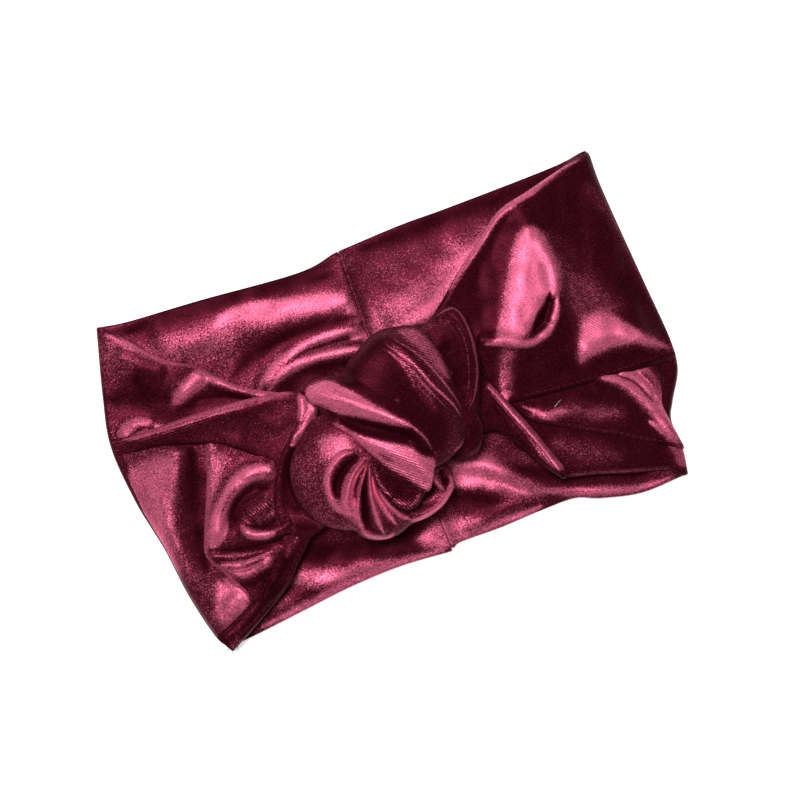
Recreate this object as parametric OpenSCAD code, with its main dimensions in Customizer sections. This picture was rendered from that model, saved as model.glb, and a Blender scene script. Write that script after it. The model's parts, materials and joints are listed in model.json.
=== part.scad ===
// Knotted velvet headband, folded flat.
// Two double-ply velvet tubes meet in a seam at the centre back. Each tube turns over at a side
// fold and runs forward as a pleated wing, and the two wings are gathered into the front knot.
// +X runs along the band, +Y towards its top edge, +Z up from the surface that it lies on.

/* [Band] */
// Length of the folded band from side fold to side fold
band_l = 252; // [236:1:268]
// Thickness of one tube wall pair, two plies of velvet
tube_t = 2.2; // [1.8:0.1:2.4]
// Distance from the centre back to each fold hinge
fold_x = 119; // [119:0.5:121]
// Gap left between cloth layers that move apart
layer_gap = 0.5; // [0.4:0.1:0.6]

/* [Wings] */
// Height of a wing's underside where it reaches the knot
wing_knot_z = 9.4; // [9:0.1:9.6]
// Extra rise of a wing between its fold and the knot
wing_bulge = 2.5; // [1.5:0.1:2.5]
// Rise of the pillow fold above the right upper flap
pillow_rise = 7; // [4:0.5:9]

/* [Knot] */
// Height of the hinge line inside the knot
throat_z = 11.6; // [11.4:0.1:11.8]
// Radius of the tightly gathered throat of the knot
throat_r = 4; // [3.5:0.1:4]
// Height of the puff's crown above the surface that the band lies on
puff_top_z = 36; // [32:1:38]
// Thickness of the velvet lobe wrapped over the puff
wrap_t = 6; // [4:0.5:7]

/* [Seams] */
// Radius of the overlocked centre back seam
seam_r = 0.9; // [0.7:0.1:0.9]
// Radius of the sewing thread
thread_r = 0.2; // [0.15:0.05:0.2]
// Length of one visible stitch
stitch_l = 2.4; // [1.8:0.1:2.8]
// Distance from one stitch to the next
stitch_pitch = 4; // [3.6:0.1:6]

/* [Hidden] */

wine = [0.36, 0.04, 0.13];
wine_light = [0.50, 0.09, 0.21];
wine_dark = [0.22, 0.01, 0.07];
thread_red = [0.45, 0.10, 0.18];

$fn = 48;
curve_steps = 4;         // segments between two points of a smooth edge
tall = 60;               // taller than any part of the band
seam_z = seam_r + 2 * thread_r;          // height of the centre back hinge line
fold_z = (seam_z + throat_z) / 2;        // height of both side fold hinge lines
wing_fold_z = tube_t + layer_gap;        // underside of a wing at its side fold
wing_end_gap = 0.5;                      // a wing stops this short of the fold hinge line
tube_end_x = 1.9;                        // a back tube stops this far from the centre back
throat_y = -4;                           // middle of the throat along its length
throat_l = 56;                           // length of the throat
thread_orbit = throat_r + thread_r;      // radius of one turn of the tie thread
knot_base_z = wing_knot_z + tube_t + 0.8;
throat_clear = throat_r + 2 * thread_r + 0.4;
puff_r = 58;                             // radius of the puff's dome
puff_centre = [-10, -9];
pleat_angles = [190, 215, 240, 262, 284];  // directions that the puff's pleats run in
pleat_r = 1.6;                           // radius of the groove between two pleats

// ---- edges, each a few points that a smooth curve runs through ----

left_top = [[0, 73], [-20, 71], [-66, 74], [-113, 78]];
left_side = [[-113, 78], [-121, 50], [-band_l / 2, 27], [-124, 0], [-119, -25], [-116, -48],
             [-106, -78]];
left_bottom = [[-106, -78], [-71, -71], [-46, -68], [-22, -67], [0, -68]];

right_top = [[120, 77], [102, 76], [54, 75], [0, 73]];
right_bottom = [[0, -66], [26, -66], [46, -65], [62, -65], [73, -69], [91, -73], [113, -73]];
right_side = [[113, -73], [114, -55], [118, -40], [band_l / 2 - 1, -26], [band_l / 2, -9],
              [124, 18], [120, 77]];

left_wing_top = [[-4, 14], [-37, 19], [-62, 32], [-77, 46], [-92, 56], [-113, 78]];
left_wing_hem = [[-106, -78], [-88, -67], [-74, -59], [-64, -50], [-51, -36], [-4, -30]];

right_wing_top = [[120, 77], [106, 74], [90, 69], [67, 58], [40, 38], [4, 14]];
right_wing_hem = [[4, -22], [34, -23], [42, -26], [48, -38], [59, -55], [77, -59], [90, -63],
                  [105, -67], [113, -73]];

left_pleat_crest = [[-46, 22], [-56, 25], [-74, 26], [-93, 27], [-122, 29]];
left_pleat_groove = [[-122, 24], [-96, 19], [-84, 14], [-76, 9], [-65, 0], [-58, -5]];

left_inner_fold = [[-88, 8], [-90, -2], [-97, -19], [-101, -31], [-98, -41], [-92, -53],
                   [-91, -58]];
left_outer_edge = [[-99, -62], [-109, -69], [-116, -48], [-122, -25], [-122, 22]];

swirl_crest = [[-97, -31], [-89, -15], [-81, -6], [-74, -2], [-67, -5]];
swirl_hem = [[-66, -30], [-59, -37], [-69, -39], [-81, -37], [-92, -34], [-97, -31]];

hem_inner = [[-60, -41], [-70, -42], [-76, -46], [-82, -53], [-88, -61], [-98, -65], [-106, -71]];
hem_outer = [[-104, -76], [-88, -67], [-74, -59], [-64, -50], [-54, -38]];

gather_outer = [[-39, 17], [-47, 5], [-54, -2], [-59, -9], [-64, -20], [-65, -29]];
gather_inner = [[-61, -29], [-60, -17], [-58, -9], [-54, -3], [-46, 4], [-38, 11]];

flap_knot_edge = [[41, 38], [46, 30], [48, 18], [48, 5], [51, -14]];
flap_hem = [[52, -17], [63, -18], [82, -19], [101, -19], [127, -22]];

leaf_side = [[117, -23], [115, -31], [112, -40], [113, -50], [112, -60]];
leaf_hem = [[112, -60], [95, -49], [79, -40], [66, -32]];

twist_right = [[43, -5], [46, -10], [49, -20], [56, -31], [60, -42], [62, -53]];
twist_left = [[59, -54], [54, -49], [48, -39], [45, -32], [42, -27], [38, -21], [39, -11]];

puff_edge = [[-33, 8], [-43, 2], [-51, -4], [-56, -12], [-57, -19], [-56, -28], [-51, -36],
             [-44, -42], [-35, -47], [-29, -53], [-22, -54], [-14, -53], [-5, -53], [3, -51],
             [10, -47], [14, -41], [14, -34], [12, -30], [8, -6]];
wrap_edge = [[-33, 11], [-35, 20], [-31, 24], [-25, 24], [-17, 22], [-13, 26], [-5, 31], [1, 34],
             [9, 35], [21, 31], [29, 19], [30, 4], [28, -12], [24, -25], [18, -30], [10, -31],
             [6, -35], [2, -40], [-2, -39], [-9, -31], [-15, -20], [-19, -15], [-24, -5],
             [-28, 2]];
back_loop_edge = [[20, 31], [34, 34], [40, 34], [44, 28], [45, 20], [43, 9], [40, -2], [35, -14],
                  [31, -27], [26, -32], [20, -32], [15, -28]];
tail_edge = [[-17, -22], [-11, -24], [-8, -33], [-5, -40], [-7, -43], [-12, -43], [-16, -37],
             [-18, -29]];

// ---- functions ----

// A smooth open run through the points p, without its last point
function curve(p) = [
    for (i = [0:len(p) - 2])
        for (k = [0:curve_steps - 1])
            let (t = k / curve_steps, a = p[max(i - 1, 0)], b = p[i], c = p[i + 1],
                 d = p[min(i + 2, len(p) - 1)])
            (2 * b + (c - a) * t + (2 * a - 5 * b + 4 * c - d) * t * t
             + (3 * b - a - 3 * c + d) * t * t * t) / 2
];

// A closed outline from edges that follow each other, joined by straight lines where they part
function outline(edges) = [
    for (i = [0:len(edges) - 1])
        let (e = edges[i], last = e[len(e) - 1], next = edges[(i + 1) % len(edges)][0])
            each concat(curve(e), last == next ? [] : [last])
];

// A closed smooth outline through the points p
function ring(p) = let (n = len(p)) [
    for (i = [0:n - 1])
        for (k = [0:curve_steps - 1])
            let (t = k / curve_steps, a = p[(i + n - 1) % n], b = p[i], c = p[(i + 1) % n],
                 d = p[(i + 2) % n])
            (2 * b + (c - a) * t + (2 * a - 5 * b + 4 * c - d) * t * t
             + (3 * b - a - 3 * c + d) * t * t * t) / 2
];

// Height of a wing's underside at x, the same on both sides
function wing_z(x) = let (u = (fold_x - abs(x)) / fold_x)
    wing_fold_z + (wing_knot_z - wing_fold_z) * u + wing_bulge * sin(180 * u);

// ---- shared shapes ----

module flat_piece(points, low, high) {
    translate([0, 0, low]) linear_extrude(high - low) polygon(points);
}

// A strip of cloth that follows the wing's arch on one side of the band (side is -1 or 1),
// from lift above the wing's underside and thickness high
module wing_layer(side, lift, thickness) {
    far_x = fold_x - wing_end_gap;
    step = far_x / 16;
    stations = [for (i = [0:16]) side * i * step];
    low = [for (x = stations) [x, wing_z(x) + lift]];
    high = [for (x = stations) [x, wing_z(x) + lift + thickness]];
    top_down = [for (i = [len(high) - 1:-1:0]) high[i]];
    rotate([90, 0, 0])
        linear_extrude(200, center = true)
            polygon(concat(low, top_down));
}

// A leaf of cloth: a plan outline cut from a wing layer
module wing_leaf(points, side, lift, thickness) {
    intersection() {
        wing_layer(side, lift, thickness);
        flat_piece(points, 0, tall);
    }
}

// A round bar along the throat's axis, centred on the throat
module throat_bar(r, l) {
    translate([0, throat_y, throat_z]) rotate([90, 0, 0]) cylinder(r = r, h = l, center = true);
}

// Room for the knot's throat, which both wings end against
module throat_room() {
    throat_bar(throat_clear, 2 * throat_l);
}

// One stitch lying on the cloth at the point p = [x, y, z], turned to the angle a
module stitch(p, a) {
    translate(p) rotate([0, 0, a]) rotate([0, 90, 0])
        cylinder(r = thread_r, h = stitch_l, center = true, $fn = 16);
}

// A row of stitches on a wing, inside the straight run from p to q
module wing_stitches(p, q, lift) {
    count = floor(norm(q - p) / stitch_pitch);
    direction = (q - p) / norm(q - p);
    a = atan2(direction[1], direction[0]);
    for (i = [0:count - 1]) {
        at = p + direction * (i + 0.5) * stitch_pitch;
        near = min(wing_z(at[0] - stitch_l / 2), wing_z(at[0] + stitch_l / 2));
        rise = abs(wing_z(at[0] + stitch_l / 2) - wing_z(at[0] - stitch_l / 2));
        stitch([at[0], at[1], near + rise + lift + thread_r + 0.02], a);
    }
}

// Rows of stitches along every leg of the run p on a wing
module wing_stitch_run(p, lift) {
    for (i = [0:len(p) - 2]) wing_stitches(p[i], p[i + 1], lift);
}

// Stitches on the flat back tube along every leg of the run p
module back_stitch_run(p) {
    for (i = [0:len(p) - 2]) {
        leg = p[i + 1] - p[i];
        count = floor(norm(leg) / stitch_pitch);
        for (k = [0:count - 1]) {
            at = p[i] + leg / norm(leg) * (k + 0.5) * stitch_pitch;
            stitch([at[0], at[1], tube_t + thread_r], atan2(leg[1], leg[0]));
        }
    }
}

// A back tube lies flat from the centre back and rolls over at its side fold
module back_tube(points, side) {
    roll_r = tube_t + layer_gap / 2;
    roll_x = band_l / 2 - roll_r;
    lip_x = fold_x + 0.3;
    intersection() {
        flat_piece(points, 0, tall);
        rotate([90, 0, 0]) linear_extrude(200, center = true)
            scale([side, 1]) difference() {
                union() {
                    translate([tube_end_x, 0]) square([roll_x - tube_end_x, tube_t]);
                    translate([lip_x, wing_fold_z]) square([roll_x - lip_x, tube_t]);
                    translate([roll_x, roll_r]) circle(r = roll_r);
                }
                translate([lip_x, tube_t]) square([roll_x - lip_x, layer_gap]);
                translate([roll_x, roll_r]) circle(r = layer_gap / 2);
                translate([roll_x - roll_r, tube_t]) square([roll_r, layer_gap]);
            }
    }
}

// The domed body of cloth inside a plan outline, with its crown at top_z over the point c
module dome(points, c, radius, top_z) {
    intersection() {
        flat_piece(points, knot_base_z, tall);
        translate([c[0], c[1], top_z - radius]) sphere(r = radius, $fn = 96);
    }
}

// ---- centre back ----

module centre_seam_allowance() {
    color(wine_dark)
        translate([0, 73, seam_z]) rotate([90, 0, 0]) cylinder(r = seam_r, h = 139);
}

module centre_seam_stitches() {
    turns = floor(136 / stitch_pitch);
    color(thread_red)
        for (i = [0:turns - 1])
            translate([0, 70 - i * stitch_pitch, seam_z]) rotate([90, 0, 0])
                rotate_extrude($fn = 32) translate([seam_r + thread_r, 0])
                    circle(r = thread_r, $fn = 16);
}

// ---- back tubes ----

module back_left_tube() {
    color(wine) back_tube(outline([left_top, left_side, left_bottom]), -1);
}

module back_left_seam_stitches() {
    color(thread_red) back_stitch_run([[-100, -74], [-71, -68], [-46, -65], [-6, -64]]);
}

module back_right_tube() {
    color(wine) back_tube(outline([right_top, right_bottom, right_side]), 1);
}

module back_right_seam_stitches() {
    color(thread_red) back_stitch_run([[6, -63], [46, -62], [62, -62], [75, -66], [108, -70]]);
}

// ---- left wing ----

module front_left_wing() {
    color(wine) difference() {
        wing_leaf(outline([left_wing_top, left_side, left_wing_hem]), -1, 0, tube_t);
        throat_room();
    }
}

module left_pleat_flap() {
    color(wine_light)
        wing_leaf(outline([left_pleat_crest, left_pleat_groove, [[-58, -5], [-46, 22]]]), -1,
                  tube_t, tube_t);
}

module left_lower_fold() {
    color(wine_light) wing_leaf(outline([left_inner_fold, left_outer_edge]), -1, tube_t, tube_t);
}

module left_swirl_fold() {
    color(wine) wing_leaf(outline([swirl_crest, [[-67, -5], [-66, -30]], swirl_hem]), -1,
                          tube_t, 1.5 * tube_t);
}

module left_gather_edge() {
    color(wine_light) wing_leaf(outline([gather_outer, gather_inner]), -1, tube_t, tube_t);
}

module left_hem_seam() {
    color(wine_dark) wing_leaf(outline([hem_inner, hem_outer]), -1, tube_t, tube_t);
}

module left_hem_stitches() {
    color(thread_red) {
        wing_stitch_run([[-102, -72], [-89, -65], [-77, -57], [-67, -48]], 2 * tube_t);
        wing_stitch_run([[-98, -67], [-88, -62], [-80, -53], [-74, -46]], 2 * tube_t);
    }
}

// ---- right wing ----

module front_right_wing() {
    color(wine) difference() {
        wing_leaf(outline([right_wing_top, right_wing_hem, right_side]), 1, 0, tube_t);
        throat_room();
    }
}

module right_upper_flap() {
    edges = [flap_knot_edge, flap_hem, [[127, -22], [124, 18], [120, 77]],
             [[120, 77], [106, 74], [90, 69], [67, 58], [41, 38]]];
    color(wine_light) wing_leaf(outline(edges), 1, tube_t, 1.6 * tube_t);
}

// A soft round fold that stands on the upper flap
module right_pillow_fold() {
    pillow_r = 70;
    pillow_at = [78, 22];
    lift = 2.6 * tube_t;
    crown = wing_z(pillow_at[0]) + lift + pillow_rise;
    color(wine_light) intersection() {
        wing_layer(1, lift, tall);
        translate([pillow_at[0], pillow_at[1], crown - pillow_r]) sphere(r = pillow_r, $fn = 96);
        flat_piece(outline([flap_knot_edge, [[51, -14], [112, -16], [120, 20], [112, 68]],
                            [[112, 68], [90, 66], [67, 56], [41, 38]]]), 0, tall);
    }
}

module right_middle_leaf() {
    color(wine) wing_leaf(outline([[[62, -19.5], [82, -20.5], [117, -23]], leaf_side, leaf_hem,
                                   [[66, -32], [62, -19.5]]]), 1, tube_t, tube_t);
}

module right_twist_fold() {
    color(wine_dark) wing_leaf(outline([twist_right, twist_left]), 1, tube_t, 1.4 * tube_t);
}

module right_flap_stitches() {
    color(thread_red) wing_stitch_run([[56, -16], [91, -17], [114, -17]], 2.6 * tube_t);
}

module right_leaf_stitches() {
    color(thread_red) {
        wing_stitch_run([[69, -31], [95, -46], [108, -54]], 2 * tube_t);
        wing_stitch_run([[66, -53], [90, -60], [108, -65]], tube_t);
    }
}

// ---- knot ----

module knot_throat() {
    color(wine_dark) throat_bar(throat_r, throat_l);
}

// Sewing thread wound round the throat in a few turns side by side
module knot_tie_thread() {
    turns = 6;
    color(thread_red)
        for (i = [0:turns - 1])
            translate([0, throat_y + (i - (turns - 1) / 2) * 2.5 * thread_r, throat_z])
                rotate([90, 0, 0]) rotate_extrude($fn = 48)
                    translate([thread_orbit, 0]) circle(r = thread_r, $fn = 16);
}

// The space of the throat and its thread inside the knot's lobes
module throat_space() {
    throat_bar(throat_r + 2 * thread_r, throat_l);
}

// The grooves between the pleats that run down the puff from its crown
module pleat_grooves() {
    for (a = pleat_angles)
        translate([puff_centre[0], puff_centre[1], puff_top_z - puff_r])
            rotate([0, 0, a]) rotate([-90, 0, 0])
                rotate([0, 0, -78]) rotate_extrude(angle = 62)
                    translate([puff_r + pleat_r / 2, 0]) circle(r = pleat_r, $fn = 24);
}

module puff_body() {
    difference() {
        dome(ring(puff_edge), puff_centre, puff_r, puff_top_z);
        throat_space();
    }
}

module wrap_body() {
    difference() {
        dome(ring(wrap_edge), puff_centre, puff_r + wrap_t, puff_top_z + wrap_t);
        puff_body();
        throat_space();
    }
}

module knot_puff() {
    color(wine_light) difference() {
        puff_body();
        pleat_grooves();
    }
}

module knot_wrap() {
    color(wine) wrap_body();
}

module knot_back_loop() {
    color(wine_light) difference() {
        dome(ring(back_loop_edge), [22, 5], 40, 29);
        wrap_body();
        puff_body();
    }
}

module knot_inner_tail() {
    color(wine_dark) difference() {
        dome(ring(tail_edge), puff_centre, puff_r + wrap_t / 2, puff_top_z + wrap_t / 2);
        puff_body();
        wrap_body();
    }
}

centre_seam_allowance();
centre_seam_stitches();
back_left_tube();
back_left_seam_stitches();
back_right_tube();
back_right_seam_stitches();
front_left_wing();
left_pleat_flap();
left_lower_fold();
left_swirl_fold();
left_gather_edge();
left_hem_seam();
left_hem_stitches();
front_right_wing();
right_upper_flap();
right_pillow_fold();
right_middle_leaf();
right_twist_fold();
right_flap_stitches();
right_leaf_stitches();
knot_throat();
knot_tie_thread();
knot_puff();
knot_wrap();
knot_back_loop();
knot_inner_tail();
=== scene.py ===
"""Velvet looks for a knotted headband that lies folded flat.

Every length is in millimetres in the band's own frame and turns into metres where a mesh is made.
A sheet is a grid of points between four edges. Its relief is a sum of soft ridges along curves, and
its colour has painted highlights and painted shade along other curves, which also tilt its shading
normal.
"""

import json
import math

import bpy
import numpy as np
from mathutils import Matrix, Vector
from mathutils.bvhtree import BVHTree


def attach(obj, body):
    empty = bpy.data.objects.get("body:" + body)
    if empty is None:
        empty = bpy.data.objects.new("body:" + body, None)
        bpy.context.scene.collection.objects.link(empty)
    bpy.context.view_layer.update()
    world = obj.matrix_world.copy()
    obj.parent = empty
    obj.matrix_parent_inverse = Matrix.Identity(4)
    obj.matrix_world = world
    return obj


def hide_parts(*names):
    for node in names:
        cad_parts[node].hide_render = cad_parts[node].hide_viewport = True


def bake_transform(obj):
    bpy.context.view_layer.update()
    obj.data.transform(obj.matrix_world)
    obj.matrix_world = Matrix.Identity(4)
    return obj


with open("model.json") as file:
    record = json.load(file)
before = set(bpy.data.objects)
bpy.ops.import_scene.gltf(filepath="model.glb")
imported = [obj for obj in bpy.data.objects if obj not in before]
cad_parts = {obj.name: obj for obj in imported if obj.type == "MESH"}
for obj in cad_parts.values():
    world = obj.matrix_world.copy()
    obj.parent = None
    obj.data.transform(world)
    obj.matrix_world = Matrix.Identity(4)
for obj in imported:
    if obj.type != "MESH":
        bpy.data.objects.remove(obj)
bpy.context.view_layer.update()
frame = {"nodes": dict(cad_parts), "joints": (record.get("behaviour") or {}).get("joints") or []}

MM = 0.001
JOINTS = {j["name"]: j for j in frame["joints"]}
FOLD_X = JOINTS["right_fold"]["pos_m"][0] / MM
PLY = 1.0                # half the thickness of a tube, which is two plies of velvet
BACK_Z = 1.1             # middle of a back tube that lies flat
TURN_R = 1.35            # radius of the side fold, to the middle of the cloth
WING_LOW = 2.7           # underside of a wing at its side fold
WING_KNOT = 9.4          # underside of a wing at the knot
WING_BULGE = 2.5         # extra rise of a wing between the two
KNOT_X = 5               # a wing runs under the knot to this far from the centre

VIEW_TURN = math.radians(-20)     # the band lies turned this far in the view
VIEW_AT = (3.2, 2.2, 6.0)         # what the camera looks straight down at
VIEW_WIDTH = 359.0                # width of the view at that height
LENS = 50
SENSOR = 36
VIEW_FAR = VIEW_WIDTH * LENS / SENSOR


# ---- numbers and curves ----

def smooth(t):
    t = np.clip(t, 0, 1)
    return t * t * (3 - 2 * t)


def spline(points, count, closed=False):
    """Evenly spaced points on a smooth curve through the points."""
    p = np.array(points, float)
    if closed:
        p = np.vstack([p[-1:], p, p[:2]])
    else:
        p = np.vstack([2 * p[0] - p[1], p, 2 * p[-1] - p[-2]])
    t = np.linspace(0, 1, 16, endpoint=False)[:, None]
    fine = []
    for a, b, c, d in zip(p, p[1:], p[2:], p[3:]):
        fine.append((2 * b + (c - a) * t + (2 * a - 5 * b + 4 * c - d) * t ** 2
                     + (3 * b - a - 3 * c + d) * t ** 3) / 2)
    fine = np.vstack(fine + [p[-2:-1]])
    run = np.r_[0, np.cumsum(np.linalg.norm(np.diff(fine, axis=0), axis=1))]
    at = np.linspace(0, run[-1], count, endpoint=not closed)
    return np.stack([np.interp(at, run, fine[:, k]) for k in range(p.shape[1])], 1)


def beside(xy, points):
    """How far each point lies from a curve, positive on its left, and its share of the way along."""
    line = spline(points, 48)
    a, leg = line[:-1], np.diff(line, axis=0)
    flat = xy.reshape(-1, 1, 2) - a
    t = np.clip((flat * leg).sum(-1) / (leg ** 2).sum(-1), 0, 1)
    gap = flat - t[..., None] * leg
    far = np.hypot(gap[..., 0], gap[..., 1])
    k = far.argmin(1)
    rows = np.arange(len(k))
    side = np.sign(leg[k, 0] * gap[rows, k, 1] - leg[k, 1] * gap[rows, k, 0])
    share = (k + t[rows, k]) / len(leg)
    shape = xy.shape[:-1]
    return (far[rows, k] * side).reshape(shape), share.reshape(shape)


def area(points, soft, amount):
    """A patch inside a closed curve, with a soft edge, for relief or for painted light and shade."""
    return ("area", points, soft, amount)


def within(xy, points, soft):
    """How much each point lies inside a closed curve, from 0 to 1 over its soft edge."""
    line = spline(points, 72, closed=True)
    line = np.vstack([line, line[:1]])
    a, b = line[:-1], line[1:]
    x, y = xy[..., 0].reshape(-1, 1), xy[..., 1].reshape(-1, 1)
    slope = (b[:, 0] - a[:, 0]) / np.where(b[:, 1] == a[:, 1], 1e-9, b[:, 1] - a[:, 1])
    crossed = ((a[:, 1] > y) != (b[:, 1] > y)) & (x < a[:, 0] + slope * (y - a[:, 1]))
    inside = np.where(crossed.sum(1) % 2 == 1, 1.0, -1.0)
    flat = xy.reshape(-1, 1, 2)
    t = np.clip(((flat - a) * (b - a)).sum(-1) / ((b - a) ** 2).sum(-1), 0, 1)
    far = np.linalg.norm(flat - a - t[..., None] * (b - a), axis=-1).min(1)
    return smooth(0.5 + inside * far / (2 * soft)).reshape(xy.shape[:-1])


def relief(xy, ridges):
    """Height of soft ridges, each (points, height, width on its right, width on its left) and,
    where it fades at its ends, the shares of its length that it fades over. A width may be a
    pair, for the start and the end of the curve. Areas lift the cloth inside them."""
    z = np.zeros(xy.shape[:-1])
    for ridge in ridges:
        if ridge[0] == "area":
            z += ridge[3] * within(xy, ridge[1], ridge[2])
            continue
        points, height, right, left, *fade = ridge
        far, share = beside(xy, points)
        start, end = fade or (0.2, 0.2)
        right, left = [w if np.isscalar(w) else w[0] + (w[1] - w[0]) * share for w in (right, left)]
        bump = np.exp(-(far / np.where(far > 0, left, right)) ** 2)
        z += height * bump * smooth(share / max(start, 1e-6)) * smooth((1 - share) / max(end, 1e-6))
    return z


def paint_light_and_shade(xy, strokes, ground=0.0):
    """Painted light and shade, from -1 for painted shade to 1 for a painted highlight, inside areas
    and along strokes of (points, width, strength). A stroke thins out at its ends."""
    s = np.full(xy.shape[:-1], float(ground))
    for stroke in strokes:
        if stroke[0] == "area":
            amount, strength = within(xy, stroke[1], stroke[2]), stroke[3]
        else:
            points, width, strength = stroke
            far, share = beside(xy, points)
            thin = 0.35 + 0.65 * smooth(share / 0.3) * smooth((1 - share) / 0.3)
            ends = smooth(share / 0.1 + 0.2) * smooth((1 - share) / 0.1 + 0.2)
            amount = np.exp(-(far / (width * thin)) ** 2) * ends
        s += (strength - s) * amount
    return np.clip(s, -1, 1)


def ripples(xy, size, seed):
    """A gentle unevenness, about one high, with waves about as long as size."""
    rng = np.random.default_rng(seed)
    z = np.zeros(xy.shape[:-1])
    for _ in range(14):
        turn, phase = rng.uniform(0, 2 * math.pi, 2)
        wave = size * rng.uniform(0.6, 1.7)
        z += np.sin((xy[..., 0] * math.cos(turn) + xy[..., 1] * math.sin(turn)) / wave
                    * 2 * math.pi + phase)
    return z / 5


def arch(x):
    """Middle height of a wing that lies at rest, which rises from its side fold to the knot."""
    u = np.clip((FOLD_X - np.abs(x)) / FOLD_X, 0, 1)
    low = WING_LOW + (WING_KNOT - WING_LOW) * u + WING_BULGE * np.sin(math.pi * u)
    return low + 0.1 + PLY


def traced(points):
    """Moves points to where they look as drawn. The curves are drawn at the wings' height as the
    camera sees them, and what stands higher is nearer to the camera and looks bigger."""
    centre = np.array([VIEW_AT[0], VIEW_AT[1]])
    high = VIEW_AT[2] + VIEW_FAR
    moved = np.array(points)
    moved[..., :2] = centre + (points[..., :2] - centre) * ((high - points[..., 2:]) / VIEW_FAR)
    return moved


# ---- sheets ----

def between(top, bottom, rows, cols, left=None, right=None):
    """A grid of plan points between four edges. Top and bottom run one way, left and right down."""
    top, bottom = spline(top, cols), spline(bottom, cols)
    left = spline(left or [top[0], bottom[0]], rows)
    right = spline(right or [top[-1], bottom[-1]], rows)
    u = np.linspace(0, 1, cols)[None, :, None]
    v = np.linspace(0, 1, rows)[:, None, None]
    corners = ((1 - v) * ((1 - u) * top[0] + u * top[-1])
               + v * ((1 - u) * bottom[0] + u * bottom[-1]))
    return (1 - v) * top + v * bottom + (1 - u) * left[:, None] + u * right[:, None] - corners


def edge_runs(xy):
    """Distances along the grid's lines from its top, bottom, left and right edges."""
    down = np.zeros(xy.shape[:-1])
    down[1:] = np.cumsum(np.linalg.norm(np.diff(xy, axis=0), axis=-1), axis=0)
    across = np.zeros(xy.shape[:-1])
    across[:, 1:] = np.cumsum(np.linalg.norm(np.diff(xy, axis=1), axis=-1), axis=1)
    return {"top": down, "bottom": down[-1:] - down, "left": across,
            "right": across[:, -1:] - across}


def rolled(xy, **radii):
    """How far the named edges of a grid bend down, each a quarter circle of its radius."""
    drop = np.zeros(xy.shape[:-1])
    runs = edge_runs(xy)
    for edge, r in radii.items():
        t = np.clip(1 - runs[edge] / r, 0, 1)
        drop += r * (1 - np.sqrt(np.maximum(1 - t * t, 0)))
    return drop


def normals(p, closed=False):
    """Unit normals of a grid. In a closed grid the last column meets the first."""
    if closed:
        across = np.roll(p, -1, 1) - np.roll(p, 1, 1)
    else:
        across = np.gradient(p, axis=1)
    down = np.gradient(p, axis=0)
    n = np.cross(down, across)
    size = np.linalg.norm(n, axis=-1, keepdims=True)
    return n / np.maximum(size, 1e-9)


def make_mesh(name, points, faces, painted_light_level, ribs, rib_at):
    mesh = bpy.data.meshes.new(name)
    mesh.from_pydata((points * MM).tolist(), [], faces)
    mesh.polygons.foreach_set("use_smooth", np.ones(len(mesh.polygons), bool))
    # Per point: the painted light level of painted highlights and shade, the knit ribs and the place
    # along a rib.
    for label, values in (("painted_light_level", painted_light_level), ("ribs", ribs), ("rib_at", rib_at)):
        mesh.attributes.new(label, "FLOAT", "POINT").data.foreach_set(
            "value", np.asarray(values, np.float32))
    mesh.validate()
    mesh.update()
    obj = bpy.data.objects.new(name, mesh)
    bpy.context.scene.collection.objects.link(obj)
    return obj


def quads(rows, cols, closed=False):
    r, c = np.mgrid[0:rows - 1, 0:cols if closed else cols - 1]
    d = (c + 1) % cols
    return np.stack([r * cols + c, r * cols + d, (r + 1) * cols + d, (r + 1) * cols + c],
                    -1).reshape(-1, 4)


def cloth(name, mid, painted_light_level=0.0, ribs=0.0, rib_at=0.0, ply=PLY, rim=6):
    """A closed sheet of even thickness round a grid of middle points, with round rims."""
    rows, cols = mid.shape[:2]
    n = normals(mid)
    loop = ([(0, c) for c in range(cols)] + [(r, cols - 1) for r in range(1, rows)]
            + [(rows - 1, c) for c in range(cols - 2, -1, -1)]
            + [(r, 0) for r in range(rows - 2, 0, -1)])
    at = np.array([r * cols + c for r, c in loop])
    edge, up = mid.reshape(-1, 3)[at], n.reshape(-1, 3)[at]
    along = np.roll(edge, -1, 0) - np.roll(edge, 1, 0)
    out = np.cross(up, along)
    out /= np.maximum(np.linalg.norm(out, axis=1, keepdims=True), 1e-9)
    turns = [math.pi * k / (rim + 1) for k in range(1, rim + 1)]
    rims = [edge + ply * (math.cos(a) * up + math.sin(a) * out) for a in turns]
    points = np.vstack([(mid + ply * n).reshape(-1, 3), (mid - ply * n).reshape(-1, 3), *rims])
    flat = quads(rows, cols)
    count, size = rows * cols, len(at)
    rings = [at] + [2 * count + k * size + np.arange(size) for k in range(rim)] + [at + count]
    faces = [flat[:, ::-1], flat + count]
    for a, b in zip(rings, rings[1:]):
        faces.append(np.stack([a, np.roll(a, -1), np.roll(b, -1), b], -1))
    faces = np.vstack(faces).tolist()
    values = []
    for value in (painted_light_level, ribs, rib_at):
        value = np.broadcast_to(value, (rows, cols)).ravel()
        values.append(np.concatenate([value, value, np.tile(value[at], rim)]))
    return make_mesh(name, points, faces, *values)


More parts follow.
